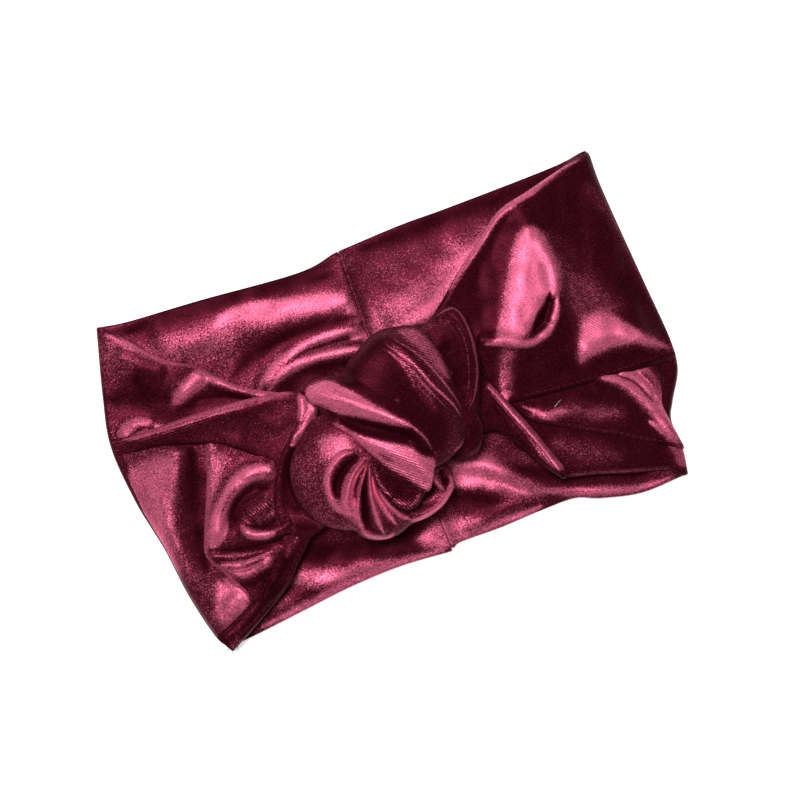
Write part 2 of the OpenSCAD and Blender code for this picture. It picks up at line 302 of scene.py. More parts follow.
def lobe(name, outline, centre, middle_z, base_z, crown, ridges, strokes, ground=0.0,
         ribs=None, around=300, up=64):
    """A closed soft lobe: it swells from its base to its outline and closes over its crown."""
    line = spline(outline, around, closed=True)
    low = -50
    turn = np.radians(np.linspace(low, 89, up))
    share = np.cos(turn) ** 0.72
    xy = np.array(centre) + (line[None] - np.array(centre)) * share[:, None, None]
    top = crown(xy)
    rise = np.sin(turn)[:, None] * np.ones(around)
    z = np.where(rise > 0, middle_z + (top - middle_z) * np.abs(rise) ** 0.85,
                 middle_z + (middle_z - base_z) * rise / abs(math.sin(math.radians(low))))
    z = z + relief(xy, ridges) * smooth(rise * 2.2)
    points = traced(np.concatenate([xy, z[..., None]], -1))
    flat = quads(up, around, closed=True)
    base_centre = points[0].mean(0)
    crown_centre = points[-1].mean(0)
    count = up * around
    ring = np.arange(around)
    last = (up - 1) * around + ring
    caps = ([[count, int(a), int(b)] for a, b in zip(np.roll(ring, -1), ring)]
            + [[count + 1, int(a), int(b)] for a, b in zip(last, np.roll(last, -1))])
    # Painted highlights and painted shade along the strokes, with ground as the level elsewhere.
    painted_light_level = paint_light_and_shade(xy, strokes, ground).ravel()
    ribs_on, rib_at = ribs(xy) if ribs else (np.zeros(xy.shape[:-1]),) * 2
    def capped(v):
        return np.r_[v.ravel(), 0, 0]
    points = np.vstack([points.reshape(-1, 3), base_centre, crown_centre])
    return make_mesh(name, points, flat.tolist() + caps, capped(painted_light_level), capped(ribs_on),
                     capped(rib_at))


def finish_piece(obj, material, body, slot, *nodes):
    obj.data.materials.append(material)
    if body:
        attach(obj, body)
    if nodes:
        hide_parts(*nodes)
    return obj


# ---- materials ----

class Nodes:
    """Short ways to build a node tree."""

    def __init__(self, name):
        self.material = bpy.data.materials.new(name)
        self.material.use_nodes = True
        self.tree = self.material.node_tree
        self.shader = self.tree.nodes["Principled BSDF"]

    def add(self, kind, inputs=None, **settings):
        node = self.tree.nodes.new(kind)
        for key, value in settings.items():
            setattr(node, key, value)
        for key, value in (inputs or {}).items():
            if isinstance(value, bpy.types.NodeSocket):
                self.tree.links.new(value, node.inputs[key])
            else:
                node.inputs[key].default_value = value
        return node

    def math(self, operation, a, b=0.0):
        return self.add("ShaderNodeMath", {0: a, 1: b}, operation=operation).outputs[0]

    def vector(self, operation, a, b):
        return self.add("ShaderNodeVectorMath", {0: a, 1: b}, operation=operation).outputs[0]

    def scaled(self, vector, factor):
        node = self.add("ShaderNodeVectorMath", {0: vector, "Scale": factor}, operation="SCALE")
        return node.outputs[0]

    def attribute(self, name):
        return self.add("ShaderNodeAttribute", attribute_name=name).outputs["Fac"]

    def noise(self, place, scale, detail=2.0, roughness=0.5):
        return self.add("ShaderNodeTexNoise", {"Vector": place, "Scale": scale, "Detail": detail,
                                               "Roughness": roughness})

    def mix(self, factor, a, b):
        node = self.add("ShaderNodeMix", data_type="RGBA")
        for key, value in ((0, factor), (6, a), (7, b)):
            if isinstance(value, bpy.types.NodeSocket):
                self.tree.links.new(value, node.inputs[key])
            else:
                node.inputs[key].default_value = value
        return node.outputs[2]

    def link(self, output, name):
        self.tree.links.new(output, self.shader.inputs[name])


NAP = (0.06, -0.06, 0.0)         # which way the pile leans where no light or shade is painted
NAP_LIGHT = (-0.12, 0.16, 0.0)   # added to the pile's lean where a painted highlight lies
NAP_DARK = (0.10, -0.10, 0.0)    # added to the pile's lean where painted shade lies
GRAIN = 1500                     # tufts to a metre
RIB_PITCH = 1.05                 # width of one knit rib in millimetres


def velvet():
    n = Nodes("velvet")
    place = n.add("ShaderNodeTexCoord")
    at, normal = place.outputs["Object"], place.outputs["Normal"]
    tufts = n.noise(at, GRAIN, 2.0, 0.6)
    crush = n.noise(at, 420, 3.0, 0.6)
    sweep = n.noise(at, 70, 2.0, 0.5)
    wave = n.math("SINE", n.math("MULTIPLY", n.attribute("rib_at"), 2 * math.pi / RIB_PITCH))
    rib = n.math("MULTIPLY", wave, n.attribute("ribs"))
    # Painted light level of highlights and shade from the mesh, with the knit ribs and random pile grain
    # added.
    painted_light_level = n.math("ADD", n.attribute("painted_light_level"), n.math("MULTIPLY", rib, 0.22))
    for noise, strength in ((tufts, 1.7), (crush, 0.45), (sweep, 0.6)):
        swing = n.math("SUBTRACT", noise.outputs["Fac"], 0.5)
        painted_light_level = n.math("ADD", painted_light_level, n.math("MULTIPLY", swing, strength))
    # Painted highlight where the level is above zero, painted shade where it is below.
    light = n.math("MAXIMUM", painted_light_level, 0.0)
    dark = n.math("MAXIMUM", n.math("MULTIPLY", painted_light_level, -1.0), 0.0)

    # The painted highlight and painted shade also tilt the shading normal.
    nap = n.vector("ADD", n.scaled(NAP_LIGHT, light), n.scaled(NAP_DARK, dark))
    nap = n.vector("ADD", nap, NAP)
    for noise, strength in ((tufts, 0.50), (crush, 0.12), (sweep, 0.12)):
        swing = n.vector("SUBTRACT", noise.outputs["Color"], (0.5, 0.5, 0.5))
        nap = n.vector("ADD", nap, n.scaled(swing, strength))
    nap = n.vector("ADD", nap, n.scaled((0.14, 0.18, 0.0), rib))
    lean = n.vector("ADD", normal, nap)
    world = n.add("ShaderNodeVectorTransform", {0: lean}, vector_type="NORMAL",
                  convert_from="OBJECT", convert_to="WORLD").outputs[0]
    unit = n.add("ShaderNodeVectorMath", {0: world}, operation="NORMALIZE").outputs[0]
    n.link(unit, "Normal")

    grain = n.math("MULTIPLY_ADD", tufts.outputs["Fac"], 1.6)
    n.tree.nodes[-1].inputs[2].default_value = -0.3
    # Colour with painted light: plain wine red, mixed towards a pale pink painted highlight and a
    # near-black painted shade.
    plain = n.mix(grain, (0.070, 0.0040, 0.0125, 1), (0.130, 0.0095, 0.0270, 1))
    painted_highlight_colour = n.mix(grain, (0.560, 0.0850, 0.1850, 1), (0.960, 0.1900, 0.3350, 1))
    painted_shade_colour = n.mix(grain, (0.022, 0.0008, 0.0036, 1), (0.038, 0.0018, 0.0068, 1))
    colour = n.mix(light, plain, painted_highlight_colour)
    colour = n.mix(n.math("MINIMUM", dark, 1.0), colour, painted_shade_colour)
    # Painted glints: pale pink specks mixed into the colour, more of them where the painted highlight
    # is.
    painted_glint_noise = n.noise(at, 1.25 * GRAIN, 0.0, 0.5).outputs["Fac"]
    painted_glint = n.add("ShaderNodeMapRange", {"Value": painted_glint_noise, "From Min": 0.66, "From Max": 0.78})
    bright = n.add("ShaderNodeMapRange", {"Value": painted_light_level, "From Min": -0.6, "From Max": 0.9})
    painted_sparkle = n.math("MULTIPLY", painted_glint.outputs[0], bright.outputs[0])
    colour = n.mix(n.math("MULTIPLY", painted_sparkle, 0.45), colour, (1.0, 0.42, 0.56, 1))
    n.link(colour, "Base Color")
    n.link(n.math("MULTIPLY_ADD", crush.outputs["Fac"], 0.16), "Roughness")
    n.tree.nodes[-1].inputs[2].default_value = 0.39
    s = n.shader.inputs
    s["Metallic"].default_value = 0.5
    s["Specular IOR Level"].default_value = 0.03
    s["Sheen Weight"].default_value = 0.02
    s["Sheen Roughness"].default_value = 0.35
    s["Sheen Tint"].default_value = (1.0, 0.30, 0.45, 1)
    return n.material


def thread(name, dark, light):
    n = Nodes(name)
    at = n.add("ShaderNodeTexCoord").outputs["Object"]
    fibres = n.noise(at, 2600, 3.0, 0.6)
    n.link(n.mix(fibres.outputs["Fac"], dark, light), "Base Color")
    bump = n.add("ShaderNodeBump", {"Height": fibres.outputs["Fac"], "Strength": 0.4,
                                    "Distance": 0.0002})
    n.link(bump.outputs[0], "Normal")
    s = n.shader.inputs
    s["Roughness"].default_value = 0.8
    s["Specular IOR Level"].default_value = 0.1
    return n.material


def floor_paper():
    n = Nodes("floor_paper")
    at = n.add("ShaderNodeTexCoord").outputs["Object"]
    fibre = n.noise(at, 900, 2.0)
    n.link(n.mix(fibre.outputs["Fac"], (0.90, 0.90, 0.90, 1), (0.93, 0.93, 0.93, 1)), "Base Color")
    n.shader.inputs["Roughness"].default_value = 0.9
    n.shader.inputs["Emission Color"].default_value = (1, 1, 1, 1)
    n.shader.inputs["Emission Strength"].default_value = 0.55
    return n.material


VELVET = velvet()
THREAD = thread("thread", (0.05, 0.004, 0.012, 1), (0.16, 0.020, 0.042, 1))
PALE_THREAD = thread("pale_thread", (0.55, 0.40, 0.42, 1), (0.95, 0.85, 0.85, 1))


# ---- the two halves of the band ----

def band_half(name, side, seam, top, edge, bottom, wing_top, wing_hem, knot_edge,
              back_ridges, back_strokes, wing_ridges, wing_strokes, wing_rolls, seed):
    """One tube from the centre seam out over the back, round its side fold and along the wing."""
    rows, back_cols, turn_cols, wing_cols = 150, 64, 9, 112
    outer = spline(edge, rows)
    along = np.gradient(outer, axis=0)
    along /= np.linalg.norm(along, axis=1, keepdims=True)
    inward = np.stack([-along[:, 1], along[:, 0]], 1) * -side
    inset = outer + inward * (PLY + TURN_R)
    fold_line = [tuple(p) for p in inset[::6]] + [tuple(inset[-1])]

    back = between(top + [tuple(inset[0])], bottom + [tuple(inset[-1])], rows, back_cols,
                   left=seam, right=fold_line)
    back[:, -1] = inset
    runs = edge_runs(back)
    waves = 0.35 * ripples(back, 16, seed) + 0.35
    back_z = BACK_Z + np.maximum(relief(back, back_ridges) + waves, 0) * smooth(runs["right"] / 12)
    back_z += (0.9 * np.exp(-(runs["left"] / 1.6) ** 2)) * (side > 0)

    wing = between([tuple(inset[0])] + wing_top, [tuple(inset[-1])] + wing_hem, rows, wing_cols,
                   left=fold_line, right=knot_edge)
    wing[:, 0] = inset
    from_fold = edge_runs(wing)["left"]
    rise = smooth((arch(wing[..., 0]) - arch(FOLD_X)) / 2.5)
    wing_z = arch(wing[..., 0]) + relief(wing, wing_ridges) * smooth(from_fold / 5)
    wing_z += 0.25 * ripples(wing, 13, seed + 1) * rise
    wing_z -= rolled(wing, **wing_rolls) * rise
    fold_top = BACK_Z + 2 * TURN_R
    wing_z = fold_top + (wing_z - fold_top) * smooth(from_fold / 2.5 + 0.1)

    turn = np.linspace(-math.pi / 2, math.pi / 2, turn_cols + 2)[1:-1]
    turn_xy = inset[:, None] - inward[:, None] * (TURN_R * np.cos(turn))[None, :, None]
    turn_z = np.broadcast_to(BACK_Z + TURN_R + TURN_R * np.sin(turn), turn_xy.shape[:2])
    xy = np.concatenate([back, turn_xy, wing], 1)
    z = np.concatenate([back_z, turn_z, wing_z], 1)
    mid = traced(np.concatenate([xy, z[..., None]], -1))
    # Painted highlights and painted shade on the back and the wing; the side fold takes the wing's
    # values at its edge.
    wing_painted_light_level = paint_light_and_shade(wing, wing_strokes, -0.15)
    painted_light_level = np.concatenate([paint_light_and_shade(back, back_strokes, -0.1),
                            np.repeat(wing_painted_light_level[:, :1], turn_cols, 1), wing_painted_light_level], 1)
    obj = cloth(name, mid, painted_light_level)
    back_body, wing_body = f"back_{SIDE[side]}", f"front_{SIDE[side]}"
    finish_piece(obj, VELVET, None, "velvet", f"{back_body}_tube", f"{wing_body}_wing")
    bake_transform(obj)
    return obj


SIDE = {-1: "left", 1: "right"}


def left_band():
    upper_arc = [(-56, 26), (-52, 30.5), (-45, 35), (-38, 37.5), (-27, 40), (-13, 40), (-2, 38.5)]
    lower_arc = [(-52, 25), (-47, 29.5), (-40, 32), (-30, 33), (-18, 32), (-4, 29.5)]
    return band_half(
        "left_band", -1, [(-0.9, 73.5), (-1.4, 32), (-0.6, -20), (1.6, -68.5)],
        top=[(-0.9, 73.5), (-20, 70.5), (-66, 74), (-99, 76)],
        edge=[(-114, 78.5), (-121.5, 50), (-126, 27), (-124, 0), (-119, -25), (-116, -48),
              (-111, -69), (-107, -76)],
        bottom=[(1.6, -68.5), (-22, -67), (-46, -68), (-71, -71), (-96, -74)],
        wing_top=[(-105, 71.5), (-92, 56), (-77, 46), (-63, 32), (-47, 23), (-37, 18), (-20, 17),
                  (-KNOT_X, 19)],
        wing_hem=[(-98, -72), (-88, -66), (-74, -58), (-64, -49), (-52, -37), (-30, -33),
                  (-KNOT_X, -31)],
        knot_edge=[(-KNOT_X, 19), (-KNOT_X, -31)],
        back_ridges=[
            ([(-95, 60), (-60, 59), (-33, 54), (-2, 49)], 2.4, 9, 12, 0.1, 0.0),
            (upper_arc, 2.2, 2.8, 4.5, 0.15, 0.0),
            (lower_arc, 2.6, 3.2, 3.4, 0.15, 0.0),
            ([(-95, -70), (-70, -66), (-45, -63), (-21, -62), (0, -64)], 1.2, 4, 4),
            ([(-72, -58), (-54, -57), (-39, -60), (-25, -63)], 1.4, 4, 4),
        ],
        back_strokes=[
            ([(-108, 74), (-90, 72.5), (-67, 71), (-39, 69.5), (-3, 71)], 5.5, -0.85),
            area([(-96, 60), (-80, 65), (-60, 65), (-38, 61), (-15, 58), (2, 55), (2, 48),
                  (-18, 51), (-36, 52), (-50, 54), (-62, 52), (-76, 50), (-88, 54)], 6, 0.22),
            ([(-64, 61), (-54, 64.5), (-44, 64.5), (-34, 61)], 3.6, 0.75),
            ([(-52, 61), (-36, 60), (-18, 56.5), (-2, 52)], 4.0, 0.85),
            ([(-92, 74), (-70, 74), (-50, 71.5), (-30, 69.5), (-12, 66), (-4, 66)], 4.2, -0.9),
            ([(-3.5, 51), (-2.5, 40)], 2.0, 0.75),
            ([(-51, 29), (-47, 32), (-43, 35)], 2.0, 0.7),
            ([(-66, 36), (-56, 42), (-44, 45.5), (-28, 46.5), (-14, 45.5), (-2, 44)], 3.6, -0.95),
            ([(-50, 20), (-38, 25), (-25, 27), (-8, 25)], 4, -0.9),
            ([(-50, 28), (-40, 35.5), (-27, 37.5), (-12, 36.5), (-3, 35)], 1.6, -0.45),
            (upper_arc, 1.9, 0.85),
            (lower_arc, 2.0, 0.80),
            ([(-9, 37.5), (-3, 35.5), (1, 32)], 2.8, 0.9),
            area([(-58, -44), (-44, -48), (-30, -50), (-8, -54), (0, -60), (-24, -61),
                  (-44, -59), (-60, -53)], 4, -0.9),
            ([(-76, -55), (-62, -59), (-44, -62.5), (-22, -65)], 3.4, 0.80),
            ([(-92, -72.5), (-70, -70), (-45, -66.8), (-21, -66), (0, -68)], 2.4, 0.85),
            ([(-78, -61), (-70, -64), (-60, -66)], 1.6, -0.3),
            area([(-12, -59), (-2, -55), (8, -57), (8, -66), (-4, -67)], 3, 0.55),
        ],
        wing_ridges=[
            ([(-76, 41), (-68, 36), (-61, 31), (-53, 26), (-47, 23)], 2.2, 3, 3),
            ([(-74, 45), (-82, 41), (-87, 38.5), (-94, 35)], 3.0, 6, 3.5, 0.25, 0.4),
            ([(-88, 34), (-75, 32), (-64, 28), (-57, 24)], -1.8, 4, 4),
            ([(-122, 28), (-113, 32), (-104, 28)], 1.6, 4.5, 3.5),
            ([(-119, 47), (-109, 42), (-100, 36), (-92, 31)], -0.8, 7, 7),
            ([(-111, 66), (-98, 54), (-90, 49)], 1.8, 6, 4),
        ],
        wing_strokes=[
            area([(-113, 74), (-104, 66), (-99, 58), (-108, 54), (-115, 56)], 5, 0.12),
            ([(-104, 56), (-95, 50), (-84, 45)], 3.5, -0.5),
            ([(-121, 48), (-110, 44), (-100, 38), (-92, 31)], 6, -0.95),
            ([(-104, 55), (-104, 44), (-94, 33), (-76, 31)], 5, -0.9),
            ([(-121, 31), (-113, 33.5), (-104, 31)], 1.8, 0.75),
            area([(-74, 46), (-73, 40), (-82, 37), (-90, 34), (-94, 35), (-90, 40), (-82, 44)],
                 2.2, 0.65),
            ([(-88, 31), (-78, 32), (-64, 28.5), (-55, 24)], 2.6, -0.95),
            area([(-122, 29), (-112, 34), (-104, 30), (-98, 26), (-104, 25), (-114, 26)], 1.8,
                 0.60),
            ([(-117, 28.5), (-110, 30), (-104, 28)], 0.8, -0.2),
            ([(-111, 75), (-103, 67), (-92, 55.5), (-82, 49.5), (-75, 45)], 1.5, 0.80),
            ([(-78, 43), (-68, 36), (-61, 31), (-53, 26), (-44, 22)], 1.7, 0.90),
        ],
        wing_rolls={"top": 2.6, "bottom": 1.5}, seed=11)


def right_band():
    return band_half(
        "right_band", 1, [(0.5, 73.5), (0, 32), (0.8, -20), (3.0, -67.5)],
        top=[(0.5, 73.5), (30, 75), (54, 75), (102, 76)],
        edge=[(120, 78), (120.5, 60), (124, 18), (126, -9), (125.5, -26), (118, -40),
              (114.5, -48), (115, -62), (113.5, -72.5)],
        bottom=[(3.0, -67.5), (7, -66), (26, -66), (46, -65), (62, -65), (73, -69), (91, -73)],
        wing_top=[(106, 74), (90, 69), (78, 62), (67, 57), (54, 48), (40, 38), (28, 31),
                  (KNOT_X, 20)],
        wing_hem=[(105, -67), (89, -63), (77, -59), (61, -54.5), (55, -48), (48, -37), (42, -27),
                  (32, -23), (KNOT_X, -22)],
        knot_edge=[(KNOT_X, 20), (KNOT_X, -22)],
        back_ridges=[
            ([(6, 38), (24, 42), (41, 49), (60, 58), (80, 67)], 2.0, 10, 10, 0.1, 0.2),
            ([(12, -33), (27, -37.5), (38, -46), (48, -55), (60, -61), (75, -67), (95, -70)],
             2.2, 3.5, 4.5),
            ([(8, -62), (22, -61), (35, -60), (46, -61)], 1.4, 3, 3),
            ([(26, -47), (36, -56), (46, -63)], 1.0, 3, 3),
        ],
        back_strokes=[
            ([(5, 71.5), (39, 72), (77, 72), (106, 75.5)], 4.5, -0.8),
            area([(1, 32), (14, 30), (28, 31), (40, 38), (52, 47), (64, 56), (80, 66), (70, 64.5),
                  (54, 59), (40, 54), (24, 46), (5, 44)], 6, 0.32),
            ([(8, 33), (28, 35.5), (40, 42), (54, 52), (68, 60.5)], 3.2, 0.80),
            ([(40, -44), (56, -52), (78, -60), (98, -67)], 4, -0.85),
            ([(6, -42), (18, -48), (30, -57)], 5, -0.7),
            area([(8, -36), (14, -30), (24, -30), (32, -36), (40, -48), (50, -58), (42, -58),
                  (32, -51), (22, -47), (12, -43)], 3.5, 0.75),
            ([(44, -55), (61, -62.5), (74, -67), (91, -71.5), (108, -72)], 1.8, 0.85),
            ([(14, -36), (22, -37), (30, -37)], 3.6, 0.95),
            ([(6, -65.5), (22, -64.5), (35, -64.5), (48, -64)], 2.2, 0.85),
            area([(0, -56), (10, -57), (20, -62), (14, -66), (2, -67)], 3, 0.5),
        ],
        wing_ridges=[
            ([(60, -38), (75, -48), (95, -57)], 0.8, 5, 5),
            ([(64, -51), (77, -56), (90, -60.5), (106, -65)], 0.6, 1.5, 2.5),
        ],
        wing_strokes=[
            area([(40, 0), (130, 10), (130, -75), (50, -60)], 4, -0.65),
            area([(60, -38), (71, -41), (84, -49), (88, -56), (75, -55), (64, -48)], 4, 0.05),
            ([(60, -54), (77, -58.5), (90, -62.5), (108, -68)], 0.8, 0.15),
            ([(110, -56), (112, -64), (111, -70)], 3, 0.45),
        ],
        wing_rolls={"top": 2.0, "bottom": 1.3}, seed=21)


# ---- the folds of the left wing ----

def wing_sheet(name, body, grid, lift, nodes, ridges=(), strokes=(), ground=0.0, rolls=None,
               ribs=None, ply=PLY, seed=0, ease=14.0, waves=0.2):
    """A layer of cloth on a wing, lift above it, which settles towards the side fold."""
    x = np.abs(grid[..., 0])
    near = smooth((FOLD_X + 7.5 - x) / ease)
    height = lift(grid) if callable(lift) else lift
    z = arch(grid[..., 0]) + height * (0.25 + 0.75 * near)
    z += relief(grid, ridges) * (0.35 + 0.65 * near)
    z += waves * ripples(grid, 11, seed)
    z -= rolled(grid, **(rolls or {})) * (0.3 + 0.7 * near)
    mid = traced(np.concatenate([grid, z[..., None]], -1))
    ribs_on, rib_at = ribs(grid) if ribs else (0.0, 0.0)
    # Painted highlights and painted shade along the strokes, with ground as the level elsewhere.
    obj = cloth(name, mid, paint_light_and_shade(grid, strokes, ground), ribs_on, rib_at, ply)
    finish_piece(obj, VELVET, body, "velvet", *nodes)
    return obj


def left_lower_fold():
    grid = between([(-123.5, 24), (-105, 22), (-92, 18), (-80, 14)],
                   [(-109.5, -70), (-101, -65.5), (-93, -62), (-87, -58)], 110, 60,
                   left=[(-123.5, 24), (-122, 0), (-117.5, -25), (-114.7, -48), (-109.5, -70)],
                   right=[(-80, 14), (-85, 2), (-90, -11), (-95, -23), (-98, -32), (-95, -41),
                          (-91, -48), (-88, -54), (-87, -58)])
    return wing_sheet(
        "left_lower_cloth", "front_left", grid, 1.8, ["left_lower_fold"],
        ridges=[([(-98, 18), (-104, 4), (-111, -8), (-113.5, -22), (-112, -40), (-107, -60)], 3.6,
                 9, 6, 0.05, 0.25),
                ([(-92, -54), (-100, -59), (-108, -65)], 1.4, 3, 3)],
        strokes=[
            area([(-124, 13), (-112, 16), (-100, 13), (-104, 3), (-109, -7), (-113, -22),
                  (-115, -36), (-120, -30), (-124, -16), (-126, 1)], 4.5, 0.70),
            ([(-113, 8), (-115, -4), (-117, -16), (-119, -24)], 3, 0.8),
            ([(-91, 18), (-95, 4), (-100, -12), (-103, -28), (-105, -42)], 5.0, -0.9),
            ([(-124, 22), (-123, 12)], 2.4, -0.3),
            area([(-103, -49), (-96, -47), (-90, -57), (-97, -64), (-105, -67), (-107, -60)],
                 3, 0.65),
            ([(-96, -50), (-95, -56), (-101, -62)], 3.0, 0.9),
        ],
        rolls={"left": 2.4, "bottom": 1.2}, seed=31)


def left_swirl():
    grid = between([(-85, 15), (-78, 13.5), (-68, 7), (-58, -2)],
                   [(-90, -60), (-85, -56.5), (-79, -51), (-74, -46.5), (-69, -43), (-62, -40)],
                   120, 84,
                   left=[(-85, 15), (-88.5, 2), (-93.5, -11), (-98.5, -23), (-102, -32),
                         (-101, -37), (-98, -42), (-94.5, -49), (-91.5, -55), (-90, -60)],
                   right=[(-58, -2), (-60, -10), (-63, -18), (-64, -26), (-62, -33), (-62, -40)])

    def tongue_ribs(xy):
        far, _ = beside(xy, [(-78, -24), (-72, -22.5), (-66, -22)])
        return np.exp(-(far / 4) ** 2), (xy[..., 0] * 0.8 + xy[..., 1] * 0.45)

    return wing_sheet(
        "left_swirl", "front_left", grid, 3.6, ["left_swirl_fold"],
        ridges=[
            ([(-97, -31), (-93, -22), (-85, -13), (-77, -8), (-69, -6), (-60, -9)], 3.2, 3.0, 5.0,
             0.15, 0.05),
            ([(-91, -21), (-84, -13.5), (-75, -9), (-66, -8.5)], 0.8, 1.2, 1.5),
            ([(-90, -28), (-83, -19), (-75, -14), (-64, -13)], -2.4, 3.5, 3.5),
            ([(-79, -25), (-72, -22), (-66, -21)], 2.0, 2.4, 2.8),
            ([(-79, -28), (-74, -29.8), (-67, -29)], -1.6, 1.8, 1.8),
            ([(-84, -26), (-81, -31), (-74, -33.8), (-66, -34.2), (-58, -31)], 3.0, 2.2, 2.6, 0.15,
             0.1),
            ([(-98, -33.5), (-84, -37), (-70, -38.5), (-62, -37.5)], -1.4, 1.8, 1.8),
            ([(-101, -35), (-90, -38.4), (-79, -40.5), (-71, -41)], 1.1, 1.1, 1.3, 0.05, 0.3),
            ([(-99, -40), (-89, -43.2), (-80, -43.2), (-72, -42.5)], 1.3, 1.2, 1.4, 0.05, 0.3),
            ([(-97, -45), (-88, -47.5), (-78, -45.5), (-72, -43)], 1.6, 2.8, 1.8),
        ],
        strokes=[
            area([(-85, 14), (-80, 5), (-83, -2), (-89, -10), (-95, -18), (-90, -3)], 2.5, 0.45),
            area([(-99.5, -29.5), (-96, -21.5), (-89, -13), (-78.5, -5), (-70, -2.8), (-61, -6),
                  (-61, -11), (-70.5, -9), (-79, -11.5), (-86, -17.5), (-90, -26.5),
                  (-95.5, -31)], 1.6, 0.95),
            ([(-91, -20), (-84, -12.5), (-75, -7.5), (-66, -7)], 0.6, 0.3),
            ([(-60, -4), (-62, -8), (-66, -10)], 1.6, 0.4),
            ([(-88, -28), (-82, -19), (-74, -15), (-64, -14)], 3.2, -0.95),
            area([(-78, -22), (-71, -19.5), (-65, -20), (-66, -27), (-76, -27)], 1.6, 0.0),
            ([(-80, -28), (-74, -30.5), (-67, -29.5), (-61, -25)], 1.4, -0.9),
            ([(-83, -26), (-80.5, -31), (-75, -34), (-69, -34.5)], 1.5, 0.9),
            ([(-66, -34.5), (-61, -32)], 1.5, -0.6),
            ([(-98, -33), (-84, -37), (-70, -38.5), (-60, -36)], 2.0, -0.85),
            ([(-99, -39.5), (-89, -42.5), (-79, -42.5), (-72, -42)], 0.6, 0.7),
            ([(-100, -35), (-90, -38), (-78, -41)], 0.6, 0.2),
            area([(-97, -41), (-85, -44), (-75, -44), (-80, -48.5), (-90, -48.5)], 1.6, 0.55),
            ([(-93, -51), (-85, -52.5), (-77, -48.5)], 2.2, -0.7),
            ([(-85, 13), (-88, 2), (-93, -11), (-98, -23), (-101.5, -32), (-100.5, -37),
              (-97.5, -42), (-94, -48.5), (-91, -54), (-89.5, -60)], 1.1, 0.8),
        ],
        ground=-0.1, rolls={"left": 2.2, "bottom": 1.5}, ribs=tongue_ribs, seed=41)


def left_pleat():
    grid = between([(-124.5, 29), (-112, 27), (-100, 27), (-84, 26.8), (-65, 25.5), (-47, 23),
                    (-37, 20)],
                   [(-124, 23), (-105, 20.5), (-92, 16.5), (-79, 11.5), (-70, 4.5), (-61, -4.5),
                    (-57, -9)], 40, 130,
                   right=[(-37, 20), (-40, 13), (-44, 6), (-50, -1), (-57, -9)])

    def rim_ribs(xy):
        far, _ = beside(xy, [(-122, 26), (-100, 24.5), (-84, 23.5)])
        return 0.8 * np.exp(-(far / 3) ** 2), xy[..., 1] + 0.05 * xy[..., 0]

    return wing_sheet(
        "left_pleat", "front_left", grid, 4.6, ["left_pleat_flap"],
        ridges=[
            ([(-122, 26.5), (-100, 25), (-84, 24.5), (-65, 23), (-47, 20.5)], 1.4, 4, 2),
            ([(-70, 12), (-58, 6), (-50, 2)], -0.8, 5, 5),
        ],
        strokes=[
            area([(-62, 19), (-42, 18), (-44, 9), (-52, 4), (-58, 8)], 5, -0.25),
            ([(-124, 29), (-100, 28), (-75, 26.3), (-50, 23.4), (-40, 21.3)], 1.3, 0.85),
            ([(-118, 22), (-100, 20), (-84, 16)], 2.5, -0.55),
            ([(-76, 8), (-66, 0), (-60, -7)], 4.5, -0.75),
            ([(-122, 27.5), (-112, 26.2), (-100, 26), (-84, 25.8), (-65, 24.4), (-47, 22.2),
              (-38, 19.5)], 1.4, 0.60),
        ],
        ground=-0.42, rolls={"top": 2.2, "bottom": 1.0}, ribs=rim_ribs, seed=51)


def left_knot_edge():
    """The rolled edge of the wing where it is gathered under the knot."""
    left = [(-39, 21), (-41, 13), (-45.5, 7), (-53.5, -0.5), (-59.5, -9), (-63.8, -17), (-66, -25),
            (-66, -31), (-63, -37), (-58, -41)]
    right = [(-33, 12), (-36, 7), (-42, 3.5), (-48, -1), (-52.5, -7), (-55.5, -13), (-56, -20),
             (-55, -28), (-51, -35), (-47, -38)]
    grid = between([left[0], (-36, 17), right[0]], [left[-1], (-52, -40), right[-1]], 110, 24,
                   left=left, right=right)
    return wing_sheet(
        "left_knot_edge", "front_left", grid, 5.0, ["left_gather_edge"],
        ridges=[
            ([(-38, 19), (-40, 12), (-45, 5), (-53, -2.5), (-58, -10), (-62, -18), (-64, -26),
              (-63, -33)], 1.2, 1.6, 2.0, 0.02, 0.1),
            ([(-35, 12), (-42, 5), (-47, 2), (-52, -5)], 1.2, 1.4, 1.6),
        ],
        strokes=[
            ([(-45, 1), (-53, -6), (-57, -14), (-59, -23), (-56, -31)], 3.5, -0.75),
            ([(-60, -34), (-56, -38), (-50, -38)], 3.5, -0.8),
            area([(-41, 19), (-36, 18), (-33, 12), (-38, 8), (-43, 10)], 1.8, 0.75),
            ([(-50, -1), (-42, 4.5), (-35, 9)], 1.5, 0.85),
            ([(-39.5, 18), (-41.5, 12), (-46, 6.5), (-54, -1), (-60, -9.5), (-64, -17),
              (-66, -25)], 0.8, 0.65),
        ],
        ground=-0.2, rolls={"left": 1.8, "right": 1.4, "top": 1.5}, seed=61)


